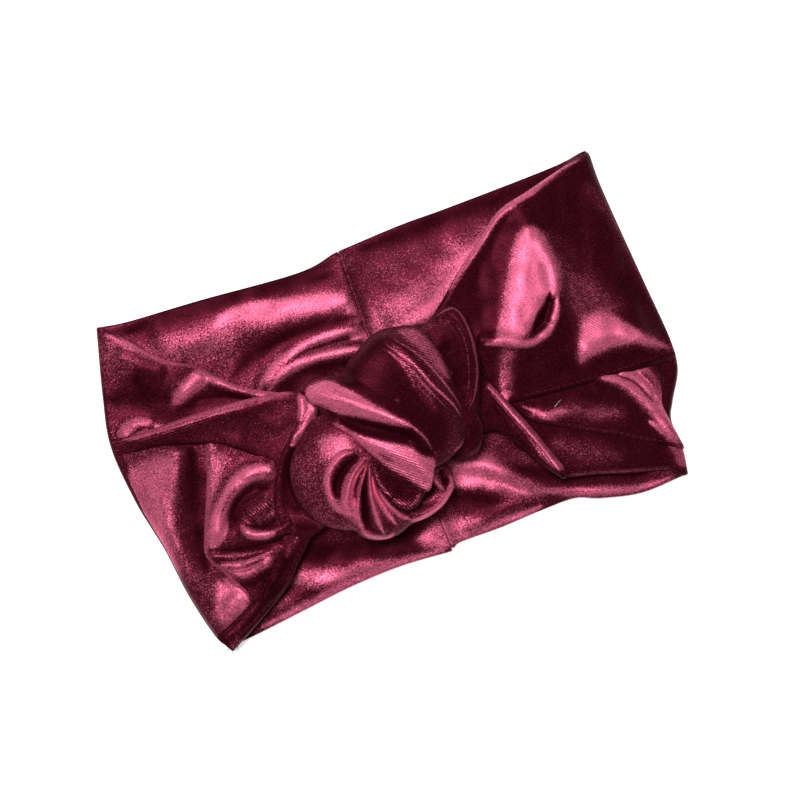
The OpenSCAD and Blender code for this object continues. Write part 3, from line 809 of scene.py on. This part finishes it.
def left_hem():
    """The sewn hem that ends in the raw tip of the tube."""
    inner = [(-109.5, -70), (-100, -66), (-90, -61), (-83, -54.5), (-77, -47.5), (-72, -42),
             (-64, -36), (-56, -32)]
    outer = [(-105.5, -77), (-98, -73), (-88, -67.5), (-74, -59), (-65, -50), (-57, -42.5),
             (-49, -35.5)]
    grid = between(inner, outer, 28, 120)
    return wing_sheet(
        "left_hem", "front_left", grid, lambda g: 2.6 + 0.02 * (g[..., 0] + 105),
        ["left_hem_seam"],
        ridges=[
            ([(-70, -42), (-75, -46.5), (-81, -54), (-87, -60.5), (-96, -65.5), (-107, -71)], -0.8,
             0.8, 0.8),
            ([(-55, -39.5), (-61, -45), (-68, -52), (-75, -59.5), (-86, -65), (-100, -72)], -0.7,
             0.8, 0.8),
            ([(-62, -38), (-68, -45), (-76, -53), (-84, -61), (-98, -69)], 0.9, 1.8, 1.8),
        ],
        strokes=[
            ([(-62, -40), (-70, -48), (-80, -58), (-96, -68)], 3, -0.9),
            ([(-69, -47), (-65, -43), (-60, -39)], 1.4, 0.1),
            ([(-86, -61), (-95, -66), (-106, -71)], 1.0, 0.0),
            ([(-100, -73.5), (-106, -76)], 2, 0.2),
        ],
        ground=-0.6, rolls={"top": 1.0, "bottom": 1.2}, seed=71)


# ---- the folds of the right wing ----

def right_upper():
    grid = between([(119.8, 77), (106, 74), (90, 70), (74, 66), (61, 56.5), (48, 46.5), (38, 38),
                    (28, 30)],
                   [(125.5, -21), (119, -21.5), (101, -20), (82, -18.5), (64, -17), (49, -15.5)],
                   128, 118,
                   left=[(119.8, 77), (119.8, 60), (123, 18), (125.3, -9), (125.5, -21)],
                   right=[(28, 30), (38, 22), (43, 10), (45, -4), (49, -15.5)])

    def pull_ribs(xy):
        far, _ = beside(xy, [(90, 48), (96, 33), (99, 18), (96, 6)])
        return 0.8 * np.exp(-(far / 8) ** 2), xy[..., 0] * 0.75 + xy[..., 1] * 0.65

    return wing_sheet(
        "right_upper", "front_right", grid, 3.6, ["right_upper_flap", "right_pillow_fold"],
        ridges=[
            area([(86, 60), (90, 48), (89, 34), (88, 22), (82, 10), (68, 5), (50, 8), (48, 14),
                  (57, 22), (65, 34), (73, 48), (80, 58)], 9, 4.2),
            ([(85, 52), (88, 42), (88, 31), (85, 20), (78, 10)], 1.6, 3.0, 2.6, 0.15, 0.1),
            ([(83, 24), (79, 17), (73, 12), (67, 10)], -2.6, 3.2, 3.2),
            ([(45, 15), (54, 12), (62, 8), (71, 7), (79, 11)], 1.8, 2.0, 3.0, 0.05, 0.2),
            ([(57, 5), (53, -2), (51, -11)], 1.0, 3.5, 3.5),
            ([(82, -8), (92, -3), (103, -2), (113, -8), (124, -17)], 2.6, 5, 12),
            ([(60, -12), (80, -11), (95, -15), (108, -16), (120, -19)], -0.7, 3, 3),
            ([(84, 66), (69, 57), (57, 45), (48, 32)], -1.4, 5, 5),
            ([(112, 62), (114, 40), (117, 20)], 1.0, 8, 8),
        ],
        strokes=[
            area([(87, 49), (98, 38), (106, 21), (112, 6), (100, 4), (88, 8), (88, 28)], 6, 0.05),
            area([(87, -1), (92, 7), (101, 8.5), (107.5, 4), (112.5, -3.5), (121, -12),
                  (125, -18), (116, -13.5), (110.5, -10), (101, -8.5), (92, -9), (84, -10)], 3.2, 0.85),
            ([(94, 0), (104, -2), (115, -8)], 3.5, 1.0),
            ([(114, 66), (118, 50)], 3.5, -0.2),
            area([(84, 56), (88, 52), (90, 43), (90, 33), (87, 24), (80, 21), (73, 15), (67, 10),
                  (58, 9), (53, 13), (58, 22), (64, 32), (70, 42), (77, 53)], 2.6, 0.85),
            ([(84, 54), (81, 44), (79, 34)], 3.0, 1.0),
            ([(61, 17), (67, 26), (74, 38)], 3.2, 0.9),
            ([(86, 24), (83, 16), (78, 10), (72, 7), (65, 6.7), (56, 10.5), (46, 13.5)], 1.7, 0.95),
            ([(51, -1), (50, -8), (47, -15)], 3.0, 0.8),
            ([(100, 26), (94, 40), (91, 52)], 3.5, -0.35),
            area([(83, 24.5), (81, 17), (75, 10), (69, 10), (72, 15.5), (78.5, 21)], 1.2, -0.95),
            area([(54, 9), (60, 6), (57, 0), (53, -9), (49, -10), (50, 2)], 3, 0.20),
            ([(119, 75.5), (107, 74), (90, 69.3), (74, 65), (61, 55.8), (48, 45.8), (38, 37)], 1.5,
             0.85),
            ([(124, 4), (122, 26), (118, 62)], 2.4, -0.2),
        ],
        ground=-0.72, rolls={"top": 1.8, "left": 2.2, "bottom": 0.8}, ribs=pull_ribs, seed=81)


def right_leaf():
    grid = between([(50, -13), (64, -14), (82, -15.5), (101, -17), (116, -18.5)],
                   [(51, -18), (55, -25.5), (61, -29.5), (75, -37.5), (91, -46.5), (107, -56),
                    (115, -61)], 60, 110,
                   right=[(116, -18.5), (116.5, -26), (114.5, -33), (112.3, -40), (113.3, -50),
                          (115, -61)])
    return wing_sheet(
        "right_leaf", "front_right", grid, 1.7, ["right_middle_leaf"],
        ridges=[
            ([(86, -17), (99, -25), (106, -36), (110, -46), (114, -57)], 2.0, 3.0, 3.2, 0.1, 0.05),
            ([(98, -18), (106, -25), (111, -36)], 1.0, 1.3, 1.6),
            ([(108, -20), (113, -30), (112, -40)], 0.9, 1.2, 1.6),
            ([(55, -24), (66, -27), (80, -29), (92, -35)], 1.8, 4, 4),
        ],
        strokes=[
            area([(92, -18), (104, -18), (113, -22), (114, -36), (114, -51), (114, -60),
                  (109, -52), (104, -37), (98, -26)], 3, 0.75),
            ([(90, -19), (100, -24), (106, -33), (109, -42)], 1.6, 0.9),
            ([(97, -20), (105, -27), (109, -38)], 0.9, -0.1),
            ([(103, -20.5), (109, -27), (112, -37)], 1.1, 0.8),
            ([(104, -44), (109, -50), (113, -58)], 2.0, 0.75),
            ([(108, -21), (112, -28), (112, -36)], 0.7, 0.0),
            area([(56, -24), (66, -25), (80, -27), (93, -34), (95, -39), (86, -38), (72, -32),
                  (62, -29)], 3.5, 0.15),
            ([(60, -27), (66, -27), (72, -28)], 1.6, 0.5),
            ([(53, -18.5), (57, -22), (62, -27), (66, -30)], 1.3, 0.55),
            ([(56, -25), (61, -29), (75, -37), (91, -46), (107, -55.5)], 0.8, -0.2),
        ],
        ground=-0.65, rolls={"bottom": 1.2, "right": 1.6}, seed=91, ease=10.0)


def right_twist():
    left = [(30, -14), (34, -21), (41, -25), (47, -34), (55, -48), (60.5, -55.5)]
    right = [(41, 2), (43, -5), (47, -14), (54, -31), (58.5, -44), (62.5, -54)]
    grid = between([left[0], (36, -6), right[0]], [left[-1], right[-1]], 110, 34,
                   left=left, right=right)

    def strip_ribs(xy):
        far, share = beside(xy, [(44, -6), (49, -20), (55, -35), (61, -53)])
        return 0.9 * smooth((far + 6) / 3) * smooth(share / 0.25), far * 1.0

    return wing_sheet(
        "right_twist", "front_right", grid, 4.4, ["right_twist_fold"],
        ridges=[
            ([(43, -4), (47, -15), (53, -31), (58, -45), (61, -53)], 1.5, 1.6, 1.2, 0.05, 0.05),
            ([(40, -8), (45, -20), (52, -36), (58, -50)], 0.7, 1.0, 1.0),
        ],
        strokes=[
            ([(46, -16), (52, -32), (58, -48)], 2.8, 0.0),
            ([(54, -38), (58, -46), (60.5, -52)], 2.4, 0.6),
            ([(41.5, -2), (46, -14), (53, -30), (57.5, -43), (61.5, -53)], 2.2, 0.5),
        ],
        ground=-0.75, rolls={"left": 1.2, "right": 2.0}, ribs=strip_ribs, seed=101)


# ---- the knot ----

PUFF_CENTRE = (-19, -17)
PUFF_TOP = 32.0
WRAP_CENTRE = (2, 3)


def puff_crown(xy):
    far = np.hypot(xy[..., 0] - PUFF_CENTRE[0], xy[..., 1] - PUFF_CENTRE[1])
    return PUFF_TOP - 0.0022 * far ** 2


def knot_puff():
    outline = [(-33, 8), (-38, 7), (-45, 1), (-52.5, -7), (-55.5, -16), (-55.5, -24), (-53, -32),
               (-48, -39), (-41.5, -43.5), (-36, -46), (-34, -49.5), (-29, -53), (-23, -54.5),
               (-17, -54), (-11, -52), (-3, -51.5), (4, -49.5), (9.5, -46), (13.5, -41.5),
               (14, -35), (12, -28), (10, -12), (2, 4), (-14, 12)]
    ridges = [
        ([(-23, -12), (-31, -13), (-38.5, -18.5), (-41, -27), (-38.5, -35)], 2.2, (1.0, 2.6),
         (1.0, 3.2)),
        ([(-22, -15), (-31, -18.5), (-37, -25), (-37.5, -31)], -2.6, (0.6, 2.2), (0.6, 2.2)),
        ([(-20, -17), (-28, -22), (-33.5, -29.5), (-36, -36)], 2.4, (0.5, 2.0), (0.5, 1.7), 0.1,
         0.1),
        ([(-21, -20), (-28, -27), (-32, -36)], -1.4, (0.4, 1.3), (0.4, 1.3)),
        ([(-20, -19), (-27, -29), (-31, -37), (-33, -45)], 1.9, (0.4, 1.2), (0.4, 1.2), 0.1, 0.05),
        ([(-20, -20), (-26.5, -33), (-29.5, -44), (-28, -50)], -2.2, (0.4, 1.8), (0.4, 1.8)),
        ([(-19.5, -20), (-23.5, -33), (-24.5, -45), (-23, -52)], 2.2, (0.4, 1.5), (0.4, 1.4), 0.1, 0.05),
        ([(-19, -21), (-21, -31), (-19.5, -41), (-16, -49)], -1.5, (0.4, 2.2), (0.4, 2.2)),
        ([(-18, -21), (-20, -31), (-18, -40), (-12, -49)], 2.0, (0.4, 1.3), (0.4, 1.3), 0.1, 0.05),
        ([(-17.5, -21), (-18, -31), (-14, -40), (-6, -49)], -2.2, (0.4, 1.9), (0.4, 1.9)),
        ([(-10, -50), (-3, -50), (6, -47), (11.5, -42), (12, -35)], 1.8, 2.0, 2.0, 0.1, 0.1),
        ([(-8, -44), (0, -43.5), (6, -38)], -2.6, 3, 3),
        ([(4, -32), (6, -38), (8, -43)], 1.6, 1.6, 1.6),
        ([(9.5, -33), (10, -38), (9, -42)], -2.4, 1.5, 1.5),
        ([(-33, -44), (-30, -50), (-24, -52.5), (-18, -51.5)], 0.8, 1.6, 1.6),
    ]
    strokes = [
        area([(-49, -8), (-40, -12), (-43, -26), (-37, -37), (-36, -45), (-45, -41), (-53, -27),
              (-54, -13)], 5, 0.04),
        area([(-37, -2), (-28, -4), (-25, -9), (-28, -12), (-35, -13), (-38, -8)], 3, 0.55),
        area([(-33, -22), (-26, -24), (-29, -37), (-38, -34)], 2.2, 0.8),
        ([(-37, -34), (-32.5, -42), (-33, -46)], 2.8, 0.9),
        ([(-23, -14), (-31, -18.5), (-37, -25), (-37.5, -31)], 2.3, -0.95),
        ([(-24, -12.5), (-31, -12.5), (-38.5, -18), (-41, -27), (-39, -35), (-33, -40)], 1.8,
         1.0),
        ([(-20, -16.5), (-27.5, -22.5), (-34, -29.5), (-37, -34)], 2.1, 1.0),
        ([(-22, -21), (-28, -27), (-31.5, -35)], 0.8, -0.5),
        ([(-20, -19), (-27, -29), (-31, -37), (-33, -45)], 1.2, 1.0),
        ([(-21, -23), (-26.5, -33), (-29.5, -44), (-28, -50)], 1.7, -0.95),
        ([(-19.5, -20), (-23.5, -33), (-24.5, -45), (-24, -52)], 1.4, 1.0),
        ([(-20, -25), (-21.5, -33), (-19.5, -44), (-17, -51)], 1.2, 1.0),
        ([(-19.5, -31), (-18.5, -38), (-15.5, -45), (-10, -50.5)], 1.2, 0.95),
        ([(-17.5, -22), (-17, -32), (-13, -41), (-6, -49)], 1.6, -0.95),
        ([(-14, -36), (-9, -43), (-2, -47)], 0.7, 0.2),
        ([(-8, -44), (0, -44), (5, -39)], 3.2, -0.95),
        ([(-12, -50.5), (-4, -51), (6, -47.5), (12, -42), (13, -36)], 1.7, 0.9),
        ([(-4, -45), (4, -43.5), (8, -38)], 1.6, 0.1),
        ([(5, -33), (6, -38), (8, -43)], 1.0, 0.75),
        ([(9.5, -33), (10, -38), (9.5, -41)], 1.2, -0.95),
        ([(-33, -44), (-31, -50), (-24, -54), (-19, -53)], 1.2, 0.8),
    ]
    obj = lobe("knot_puff_cloth", outline, PUFF_CENTRE, 20.0, 12.9, puff_crown, ridges, strokes,
               ground=-0.1, around=420, up=90)
    return finish_piece(obj, VELVET, "knot", "velvet", "knot_puff")


def wrap_crown(xy):
    x, y = xy[..., 0] - 6, xy[..., 1] - 12
    return 40.3 - 0.0018 * (x * x + y * y)


def knot_wrap():
    outline = [(-31.5, 9), (-36, 16), (-35, 21), (-31, 24), (-25, 23.5), (-17, 22), (-13, 26),
               (-5, 31), (1, 34), (9, 34.5), (21, 31), (27, 20), (29, 4), (27.5, -12), (24.5, -24),
               (18, -29), (12, -31), (8, -31.5), (5.5, -35.5), (2, -40.5), (-1.5, -39.5),
               (-6, -35.5), (-12, -28), (-16, -20.5), (-19, -14), (-23, -5.5), (-28, 1)]
    ridges = [
        ([(-34, 20), (-23, 12.5), (-12, 3.5), (-3, -4), (4, -12), (8, -22)], 2.2, 3.6, 3.2, 0.05,
         0.1),
        ([(-28, 7), (-17, -2), (-8, -8), (0, -14), (5, -21)], -2.0, 3.0, 3.0),
        ([(-29, 3), (-20, -8), (-10, -17), (0, -27), (5, -35)], 1.6, 3.2, 3.6, 0.05, 0.05),
        ([(5, 33), (13, 22), (20, 7), (25.5, -7), (26, -16)], 1.2, 1.6, 2.6, 0.05, 0.2),
        ([(7, 30), (12, 17), (15, 1), (17, -14)], 0.5, 2.0, 2.0),
        ([(-12, 22), (0, 18), (8, 4), (12, -14)], -0.6, 5, 5),
        ([(8, -12), (10, -20), (9, -28)], -1.2, 1.4, 1.4),
    ]
    strokes = [
        area([(-17, 22), (-6, 27), (2, 31), (10, 28), (16, 12), (19, -7), (17, -22), (10, -24),
              (7, -13), (-1, -2), (-11, 8), (-19, 15)], 3, -0.85),
        ([(8, 28), (13, 15), (15.5, 2), (17, -10)], 3.2, 0.0),
        ([(5, 27), (10, 15), (12, 2)], 0.6, 0.25),
        area([(13, 31), (22, 29), (27, 17), (28, 4), (25, 6), (19, 19)], 2.0, 0.45),
        area([(-35, 21), (-28, 22.5), (-22.5, 20.5), (-17.5, 15.5), (-11.5, 8.5), (-5.5, 1.5),
              (-1, -4), (3.5, -8.5), (2.5, -10.5), (-4.5, -6.8), (-10.5, -3), (-17.5, 1.5),
              (-24.5, 5.5), (-30, 11), (-35, 15)], 1.6, 0.95),
        ([(1, -7), (5, -12), (8, -18), (9.2, -25)], 0.8, 0.6),
        area([(-29, 9), (-24.5, 4.5), (-17.5, 0), (-10.5, -4.2), (-4.5, -8.2), (2.7, -12),
              (7, -18), (8.5, -25), (5, -24), (0, -17.5), (-7, -13), (-13, -9.8), (-20, -5),
              (-26, 2.5)], 1.2, -0.95),
        area([(-29, 3), (-26, 1), (-20, -6), (-13, -11), (-7, -14.5), (0, -19), (5, -25.5),
              (8.5, -28), (7.5, -32), (2, -40.5), (-2, -37), (-7, -30.5), (-12, -24.5),
              (-16, -18.5), (-19, -13.5), (-23, -7.5), (-28, 0)], 1.3, 0.90),
        ([(-14, -17), (-9, -23)], 1.4, 0.35),
        ([(5, 29), (14, 16), (19, 4), (25, -8), (26.5, -16)], 0.6, 0.8),
        ([(9, 30), (17.5, 19), (23, 7), (27, -6), (27.5, -14)], 0.5, 0.7),
        ([(3, 28), (11, 16), (17, 2), (22, -9)], 0.5, 0.5),
        ([(22, -16), (18, -25), (13, -28)], 2.6, -0.3),
        ([(28, -13), (25, -24), (17, -28.5)], 0.8, 0.4),
    ]

    def wrap_ribs(xy):
        tip = np.exp(-(np.hypot(xy[..., 0] + 30, xy[..., 1] - 16) / 12) ** 2)
        fan = np.exp(-(np.hypot(xy[..., 0] - 19, xy[..., 1] - 20) / 12) ** 2)
        end = smooth((-xy[..., 1] - 8) / 14)
        return np.clip(0.25 + tip + fan + end, 0, 1), xy[..., 0] * 0.62 + xy[..., 1] * 0.78

    line = spline(outline, 360, closed=True)
    over_puff = smooth((6 - (line[:, 0] * 0.75 + line[:, 1] * 0.66)) / 22)
    middle = 24 + over_puff * 9.2
    base = middle - 3.4 - 5.6 * (1 - over_puff)
    obj = lobe("knot_wrap_cloth", outline, WRAP_CENTRE, middle, base, wrap_crown, ridges, strokes,
               ground=-0.35, ribs=wrap_ribs, around=360, up=80)
    return finish_piece(obj, VELVET, "knot", "velvet", "knot_wrap")


def knot_back_loop():
    outline = [(18, 29), (26, 31), (33, 34), (40, 34), (43.5, 28), (44.5, 19), (43, 7), (39.5, -3),
               (35.5, -14), (33, -25), (28, -31.5), (21, -32.5), (15, -28), (16, 0)]
    ridges = [
        ([(30, 31), (39, 31.5), (42, 21), (40.5, 6), (35, -7), (30, -14)], 1.4, 1.6, 1.8, 0.05, 0.1),
        ([(31, 27), (37, 26), (38.5, 16), (36, 3), (31, -8)], 0.5, 1.2, 1.2),
        ([(29, 20), (31, 8), (29, -6)], -1.6, 4, 4),
        ([(31, -12), (33, -22), (28, -29), (21, -30)], 1.0, 1.6, 1.6),
    ]
    strokes = [
        ([(30, 24), (32, 8), (29, -8)], 6, -0.9),
        ([(22, 29), (31, 28)], 2.5, 0.0),
        ([(30, 32), (40, 32.5), (43, 21), (41, 5), (35.5, -7), (29, -14)], 0.7, 0.5),
        ([(32, 28), (38, 26.5), (39.5, 16), (36.5, 3), (31, -9)], 0.45, 0.2),
        ([(28, -18), (30, -25), (24, -29)], 4, -0.85),
        ([(33, -16), (33.5, -24), (28, -31), (21, -31.5)], 0.7, 0.1),
    ]

    def loop_ribs(xy):
        top = np.exp(-(np.hypot(xy[..., 0] - 33, xy[..., 1] - 28) / 12) ** 2)
        return top, np.hypot(xy[..., 0] - 24, xy[..., 1] - 8)

    obj = lobe("knot_back_loop_cloth", outline, (29, 6), 19.0, 13.4,
               lambda xy: 29.5 - 0.004 * ((xy[..., 0] - 27) ** 2 + (xy[..., 1] - 12) ** 2),
               ridges, strokes, ground=-0.5, ribs=loop_ribs, around=260, up=60)
    return finish_piece(obj, VELVET, "knot", "velvet", "knot_back_loop")


def knot_tail():
    grid = between([(-17.5, -19), (-8, -22), (0, -30)],
                   [(-15, -40), (-11, -44), (-7, -44.5), (-3, -42), (1, -38)], 60, 60,
                   left=[(-17.5, -19), (-18.5, -29), (-15, -40)], right=[(0, -30), (1, -38)])
    down = edge_runs(grid)["top"]
    ragged = 0.45 * np.sin(grid[..., 0] * 3.6) * smooth(down / 12 - 0.6)
    grid = grid + np.stack([ragged * 0.2, ragged], -1)
    z = PUFF_TOP + 0.4 - 0.09 * down + relief(grid, [
        ([(-15, -24), (-12, -34), (-9, -43)], 0.8, 4, 4, 0.0, 0.0)])
    z -= rolled(grid, left=1.2)
    mid = traced(np.concatenate([grid, z[..., None]], -1))
    # Painted shade on the tail, with painted highlights along its lower edge and its left rim.
    painted_light_level = paint_light_and_shade(grid, [([(-17, -22), (-13, -32), (-9, -38)], 4, -0.8),
                           ([(-15, -38), (-11, -42), (-7, -43), (-2, -40)], 1.6, 0.35),
                           ([(-17.5, -21), (-18, -29), (-15, -38)], 0.7, 0.5)], -0.5)
    obj = cloth("knot_tail_cloth", mid, painted_light_level, 1.0, grid[..., 0] * 0.85 + grid[..., 1] * 0.5,
                ply=0.8)
    finish_piece(obj, VELVET, "knot", "velvet", "knot_inner_tail")
    return obj


# ---- stitches and raw ends ----

TREES = {}


def surfaces(objs):
    """Search trees of the pieces' surfaces, each made once."""
    for o in objs:
        if o.name not in TREES:
            points = [v.co for v in o.data.vertices]
            TREES[o.name] = BVHTree.FromPolygons(points, [p.vertices for p in o.data.polygons])
    return [TREES[o.name] for o in objs]


def drop_on(trees, x, y):
    """Height of the topmost surface at a plan point in millimetres, and its normal."""
    best, up = None, Vector((0, 0, 1))
    for tree in trees:
        hit, normal, _, _ = tree.ray_cast(Vector((x * MM, y * MM, 0.1)), Vector((0, 0, -1)))
        if hit is not None and (best is None or hit.z > best):
            best, up = hit.z, normal
    return (best / MM if best is not None else BACK_Z), up


def stitches(name, body, lines, objs, nodes, length=2.0, gap=0.9, radius=0.16, sink=0.05):
    """Rows of short sewn stitches that lie on the given pieces along plan lines."""
    trees = surfaces(objs)
    points, faces = [], []
    sides, steps = 8, 7
    for line in lines:
        run = spline(line, 400)
        along = np.r_[0, np.cumsum(np.linalg.norm(np.diff(run, axis=0), axis=1))]
        count = int(along[-1] // (length + gap))
        for k in range(count):
            at = (k + 0.5) * along[-1] / count
            first = len(points)
            for i in range(steps):
                t = i / (steps - 1)
                here = at + (t - 0.5) * length
                x, y = (np.interp(here, along, run[:, j]) for j in (0, 1))
                dx, dy = (np.interp(here + 0.1, along, run[:, j]) - np.interp(here - 0.1, along,
                          run[:, j]) for j in (0, 1))
                size = math.hypot(dx, dy) or 1
                across = Vector((-dy / size, dx / size, 0))
                z, _ = drop_on(trees, x, y)
                arc = math.sin(math.pi * t)
                r = radius * (0.45 + 0.55 * arc ** 0.5)
                centre = Vector((x, y, z + radius * (1.3 * arc - 0.6) - sink))
                for j in range(sides):
                    a = 2 * math.pi * j / sides
                    p = centre + across * (r * math.cos(a)) + Vector((0, 0, r * math.sin(a)))
                    points.append(p)
            for i in range(steps - 1):
                for j in range(sides):
                    a = first + i * sides + j
                    b = first + i * sides + (j + 1) % sides
                    faces.append([a, b, b + sides, a + sides])
            faces.append([first + j for j in range(sides)][::-1])
            faces.append([first + (steps - 1) * sides + j for j in range(sides)])
    mesh = bpy.data.meshes.new(name)
    mesh.from_pydata([tuple(p * MM) for p in points], [], faces)
    mesh.polygons.foreach_set("use_smooth", np.ones(len(mesh.polygons), bool))
    mesh.update()
    obj = bpy.data.objects.new(name, mesh)
    bpy.context.scene.collection.objects.link(obj)
    return finish_piece(obj, THREAD, body, "thread", *nodes)


def tufts(name, body, starts, lean, objs, length, radius, seed, material):
    """Loose threads that stand out from raw or torn edges."""
    rng = np.random.default_rng(seed)
    trees = surfaces(objs)
    points, faces = [], []
    sides, steps = 6, 8
    for x, y in starts:
        z, _ = drop_on(trees, x, y)
        way = np.array(lean) + rng.normal(0, 0.35, 2)
        way /= np.linalg.norm(way)
        curl = rng.uniform(-0.9, 0.9)
        far = length * rng.uniform(0.6, 1.3)
        first = len(points)
        for i in range(steps):
            t = i / (steps - 1)
            turn = curl * t
            d = np.array([way[0] * math.cos(turn) - way[1] * math.sin(turn),
                          way[0] * math.sin(turn) + way[1] * math.cos(turn)])
            centre = Vector((x + d[0] * far * t, y + d[1] * far * t, z - 0.5 - 0.3 * t))
            side = Vector((-d[1], d[0], 0))
            r = radius * (1 - 0.6 * t)
            for j in range(sides):
                a = 2 * math.pi * j / sides
                points.append(centre + side * (r * math.cos(a)) + Vector((0, 0, r * math.sin(a))))
        for i in range(steps - 1):
            for j in range(sides):
                a = first + i * sides + j
                b = first + i * sides + (j + 1) % sides
                faces.append([a, b, b + sides, a + sides])
        faces.append([first + j for j in range(sides)][::-1])
        faces.append([first + (steps - 1) * sides + j for j in range(sides)])
    mesh = bpy.data.meshes.new(name)
    mesh.from_pydata([tuple(p * MM) for p in points], [], faces)
    mesh.polygons.foreach_set("use_smooth", np.ones(len(mesh.polygons), bool))
    mesh.update()
    obj = bpy.data.objects.new(name, mesh)
    bpy.context.scene.collection.objects.link(obj)
    return finish_piece(obj, material, body, "thread")


# ---- the whole headband ----

left = left_band()
right = right_band()
lower = left_lower_fold()
swirl = left_swirl()
pleat = left_pleat()
strip = left_knot_edge()
hem = left_hem()
upper = right_upper()
leaf = right_leaf()
twist = right_twist()
puff = knot_puff()
wrap = knot_wrap()
loop = knot_back_loop()
tail = knot_tail()

stitches("left_hem_thread", "front_left",
         [[(-70, -42), (-75, -46.5), (-81, -54), (-87, -60.5), (-96, -65.5), (-107, -71)],
          [(-55, -39.5), (-61, -45), (-68, -52), (-75, -59.5), (-86, -65), (-100, -72)]],
         [hem, swirl], ["left_hem_stitches"])
stitches("right_flap_thread", "front_right",
         [[(55, -14.6), (73, -16.6), (92, -17.8), (111, -18.8), (122, -18.5)]], [upper],
         ["right_flap_stitches"])
stitches("right_leaf_thread", "front_right",
         [[(56, -25), (62, -29), (75, -36.5), (91, -45.5), (107, -55), (113, -58.5)],
          [(63, -53.5), (77, -58), (90, -62), (104, -66), (110, -69)]], [leaf, right, twist],
         ["right_leaf_stitches"])
stitches("back_left_thread", "back_left",
         [[(-92, -72), (-71, -68.5), (-46, -65.5), (-22, -64.5), (-3, -66)]], [left],
         ["back_left_seam_stitches"])
stitches("back_right_thread", "back_right",
         [[(6, -63.5), (26, -63.5), (46, -62.5), (60, -62.5), (75, -67), (106, -70.5)]], [right],
         ["back_right_seam_stitches"])
tufts("raw_tip_threads", "front_left", [(-108 + 0.5 * k, -75 - 0.3 * k) for k in range(9)],
      (-0.3, -1.0), [hem, left], 2.4, 0.16, 5, THREAD)
tufts("stray_thread", "front_right", [(62.5, -29)], (0.9, 1.0), [leaf], 9.0, 0.17, 8, PALE_THREAD)

for node in ("centre_seam_allowance", "knot_throat"):
    frame["nodes"][node].data.materials.clear()
    frame["nodes"][node].data.materials.append(VELVET)
for node in ("centre_seam_stitches", "knot_tie_thread"):
    frame["nodes"][node].data.materials.clear()
    frame["nodes"][node].data.materials.append(THREAD)


# ---- floor, light and camera ----

def stage_and_light():
    bpy.ops.mesh.primitive_plane_add(size=6, location=(0, 0, -0.0002))
    floor = bpy.context.object
    floor.name = "floor"
    floor.data.materials.append(floor_paper())

    def lamp(name, way, distance, size, power):
        data = bpy.data.lights.new(name, "AREA")
        data.shape, data.size, data.energy = "DISK", size, power
        obj = bpy.data.objects.new(name, data)
        bpy.context.scene.collection.objects.link(obj)
        obj.location = Vector(way).normalized() * distance
        obj.rotation_euler = Vector(way).to_track_quat("Z", "Y").to_euler()

    lamp("key", (-0.10, 0.27, 0.96), 1.2, 0.42, 13)
    lamp("fill", (0.6, -0.5, 0.7), 1.6, 1.2, 1.0)
    world = bpy.data.worlds.new("studio")
    world.use_nodes = True
    world.node_tree.nodes["Background"].inputs[0].default_value = (1, 1, 1, 1)
    world.node_tree.nodes["Background"].inputs[1].default_value = 0.12
    bpy.context.scene.world = world
    bpy.context.scene.view_settings.view_transform = "Standard"


def camera():
    data = bpy.data.cameras.new("camera")
    data.lens, data.sensor_width = LENS, SENSOR
    data.clip_start = 0.01
    obj = bpy.data.objects.new("camera", data)
    bpy.context.scene.collection.objects.link(obj)
    obj.location = (Vector(VIEW_AT) + Vector((0, 0, VIEW_FAR))) * MM
    obj.rotation_euler = (0, 0, VIEW_TURN)
    bpy.context.scene.camera = obj


stage_and_light()
camera()
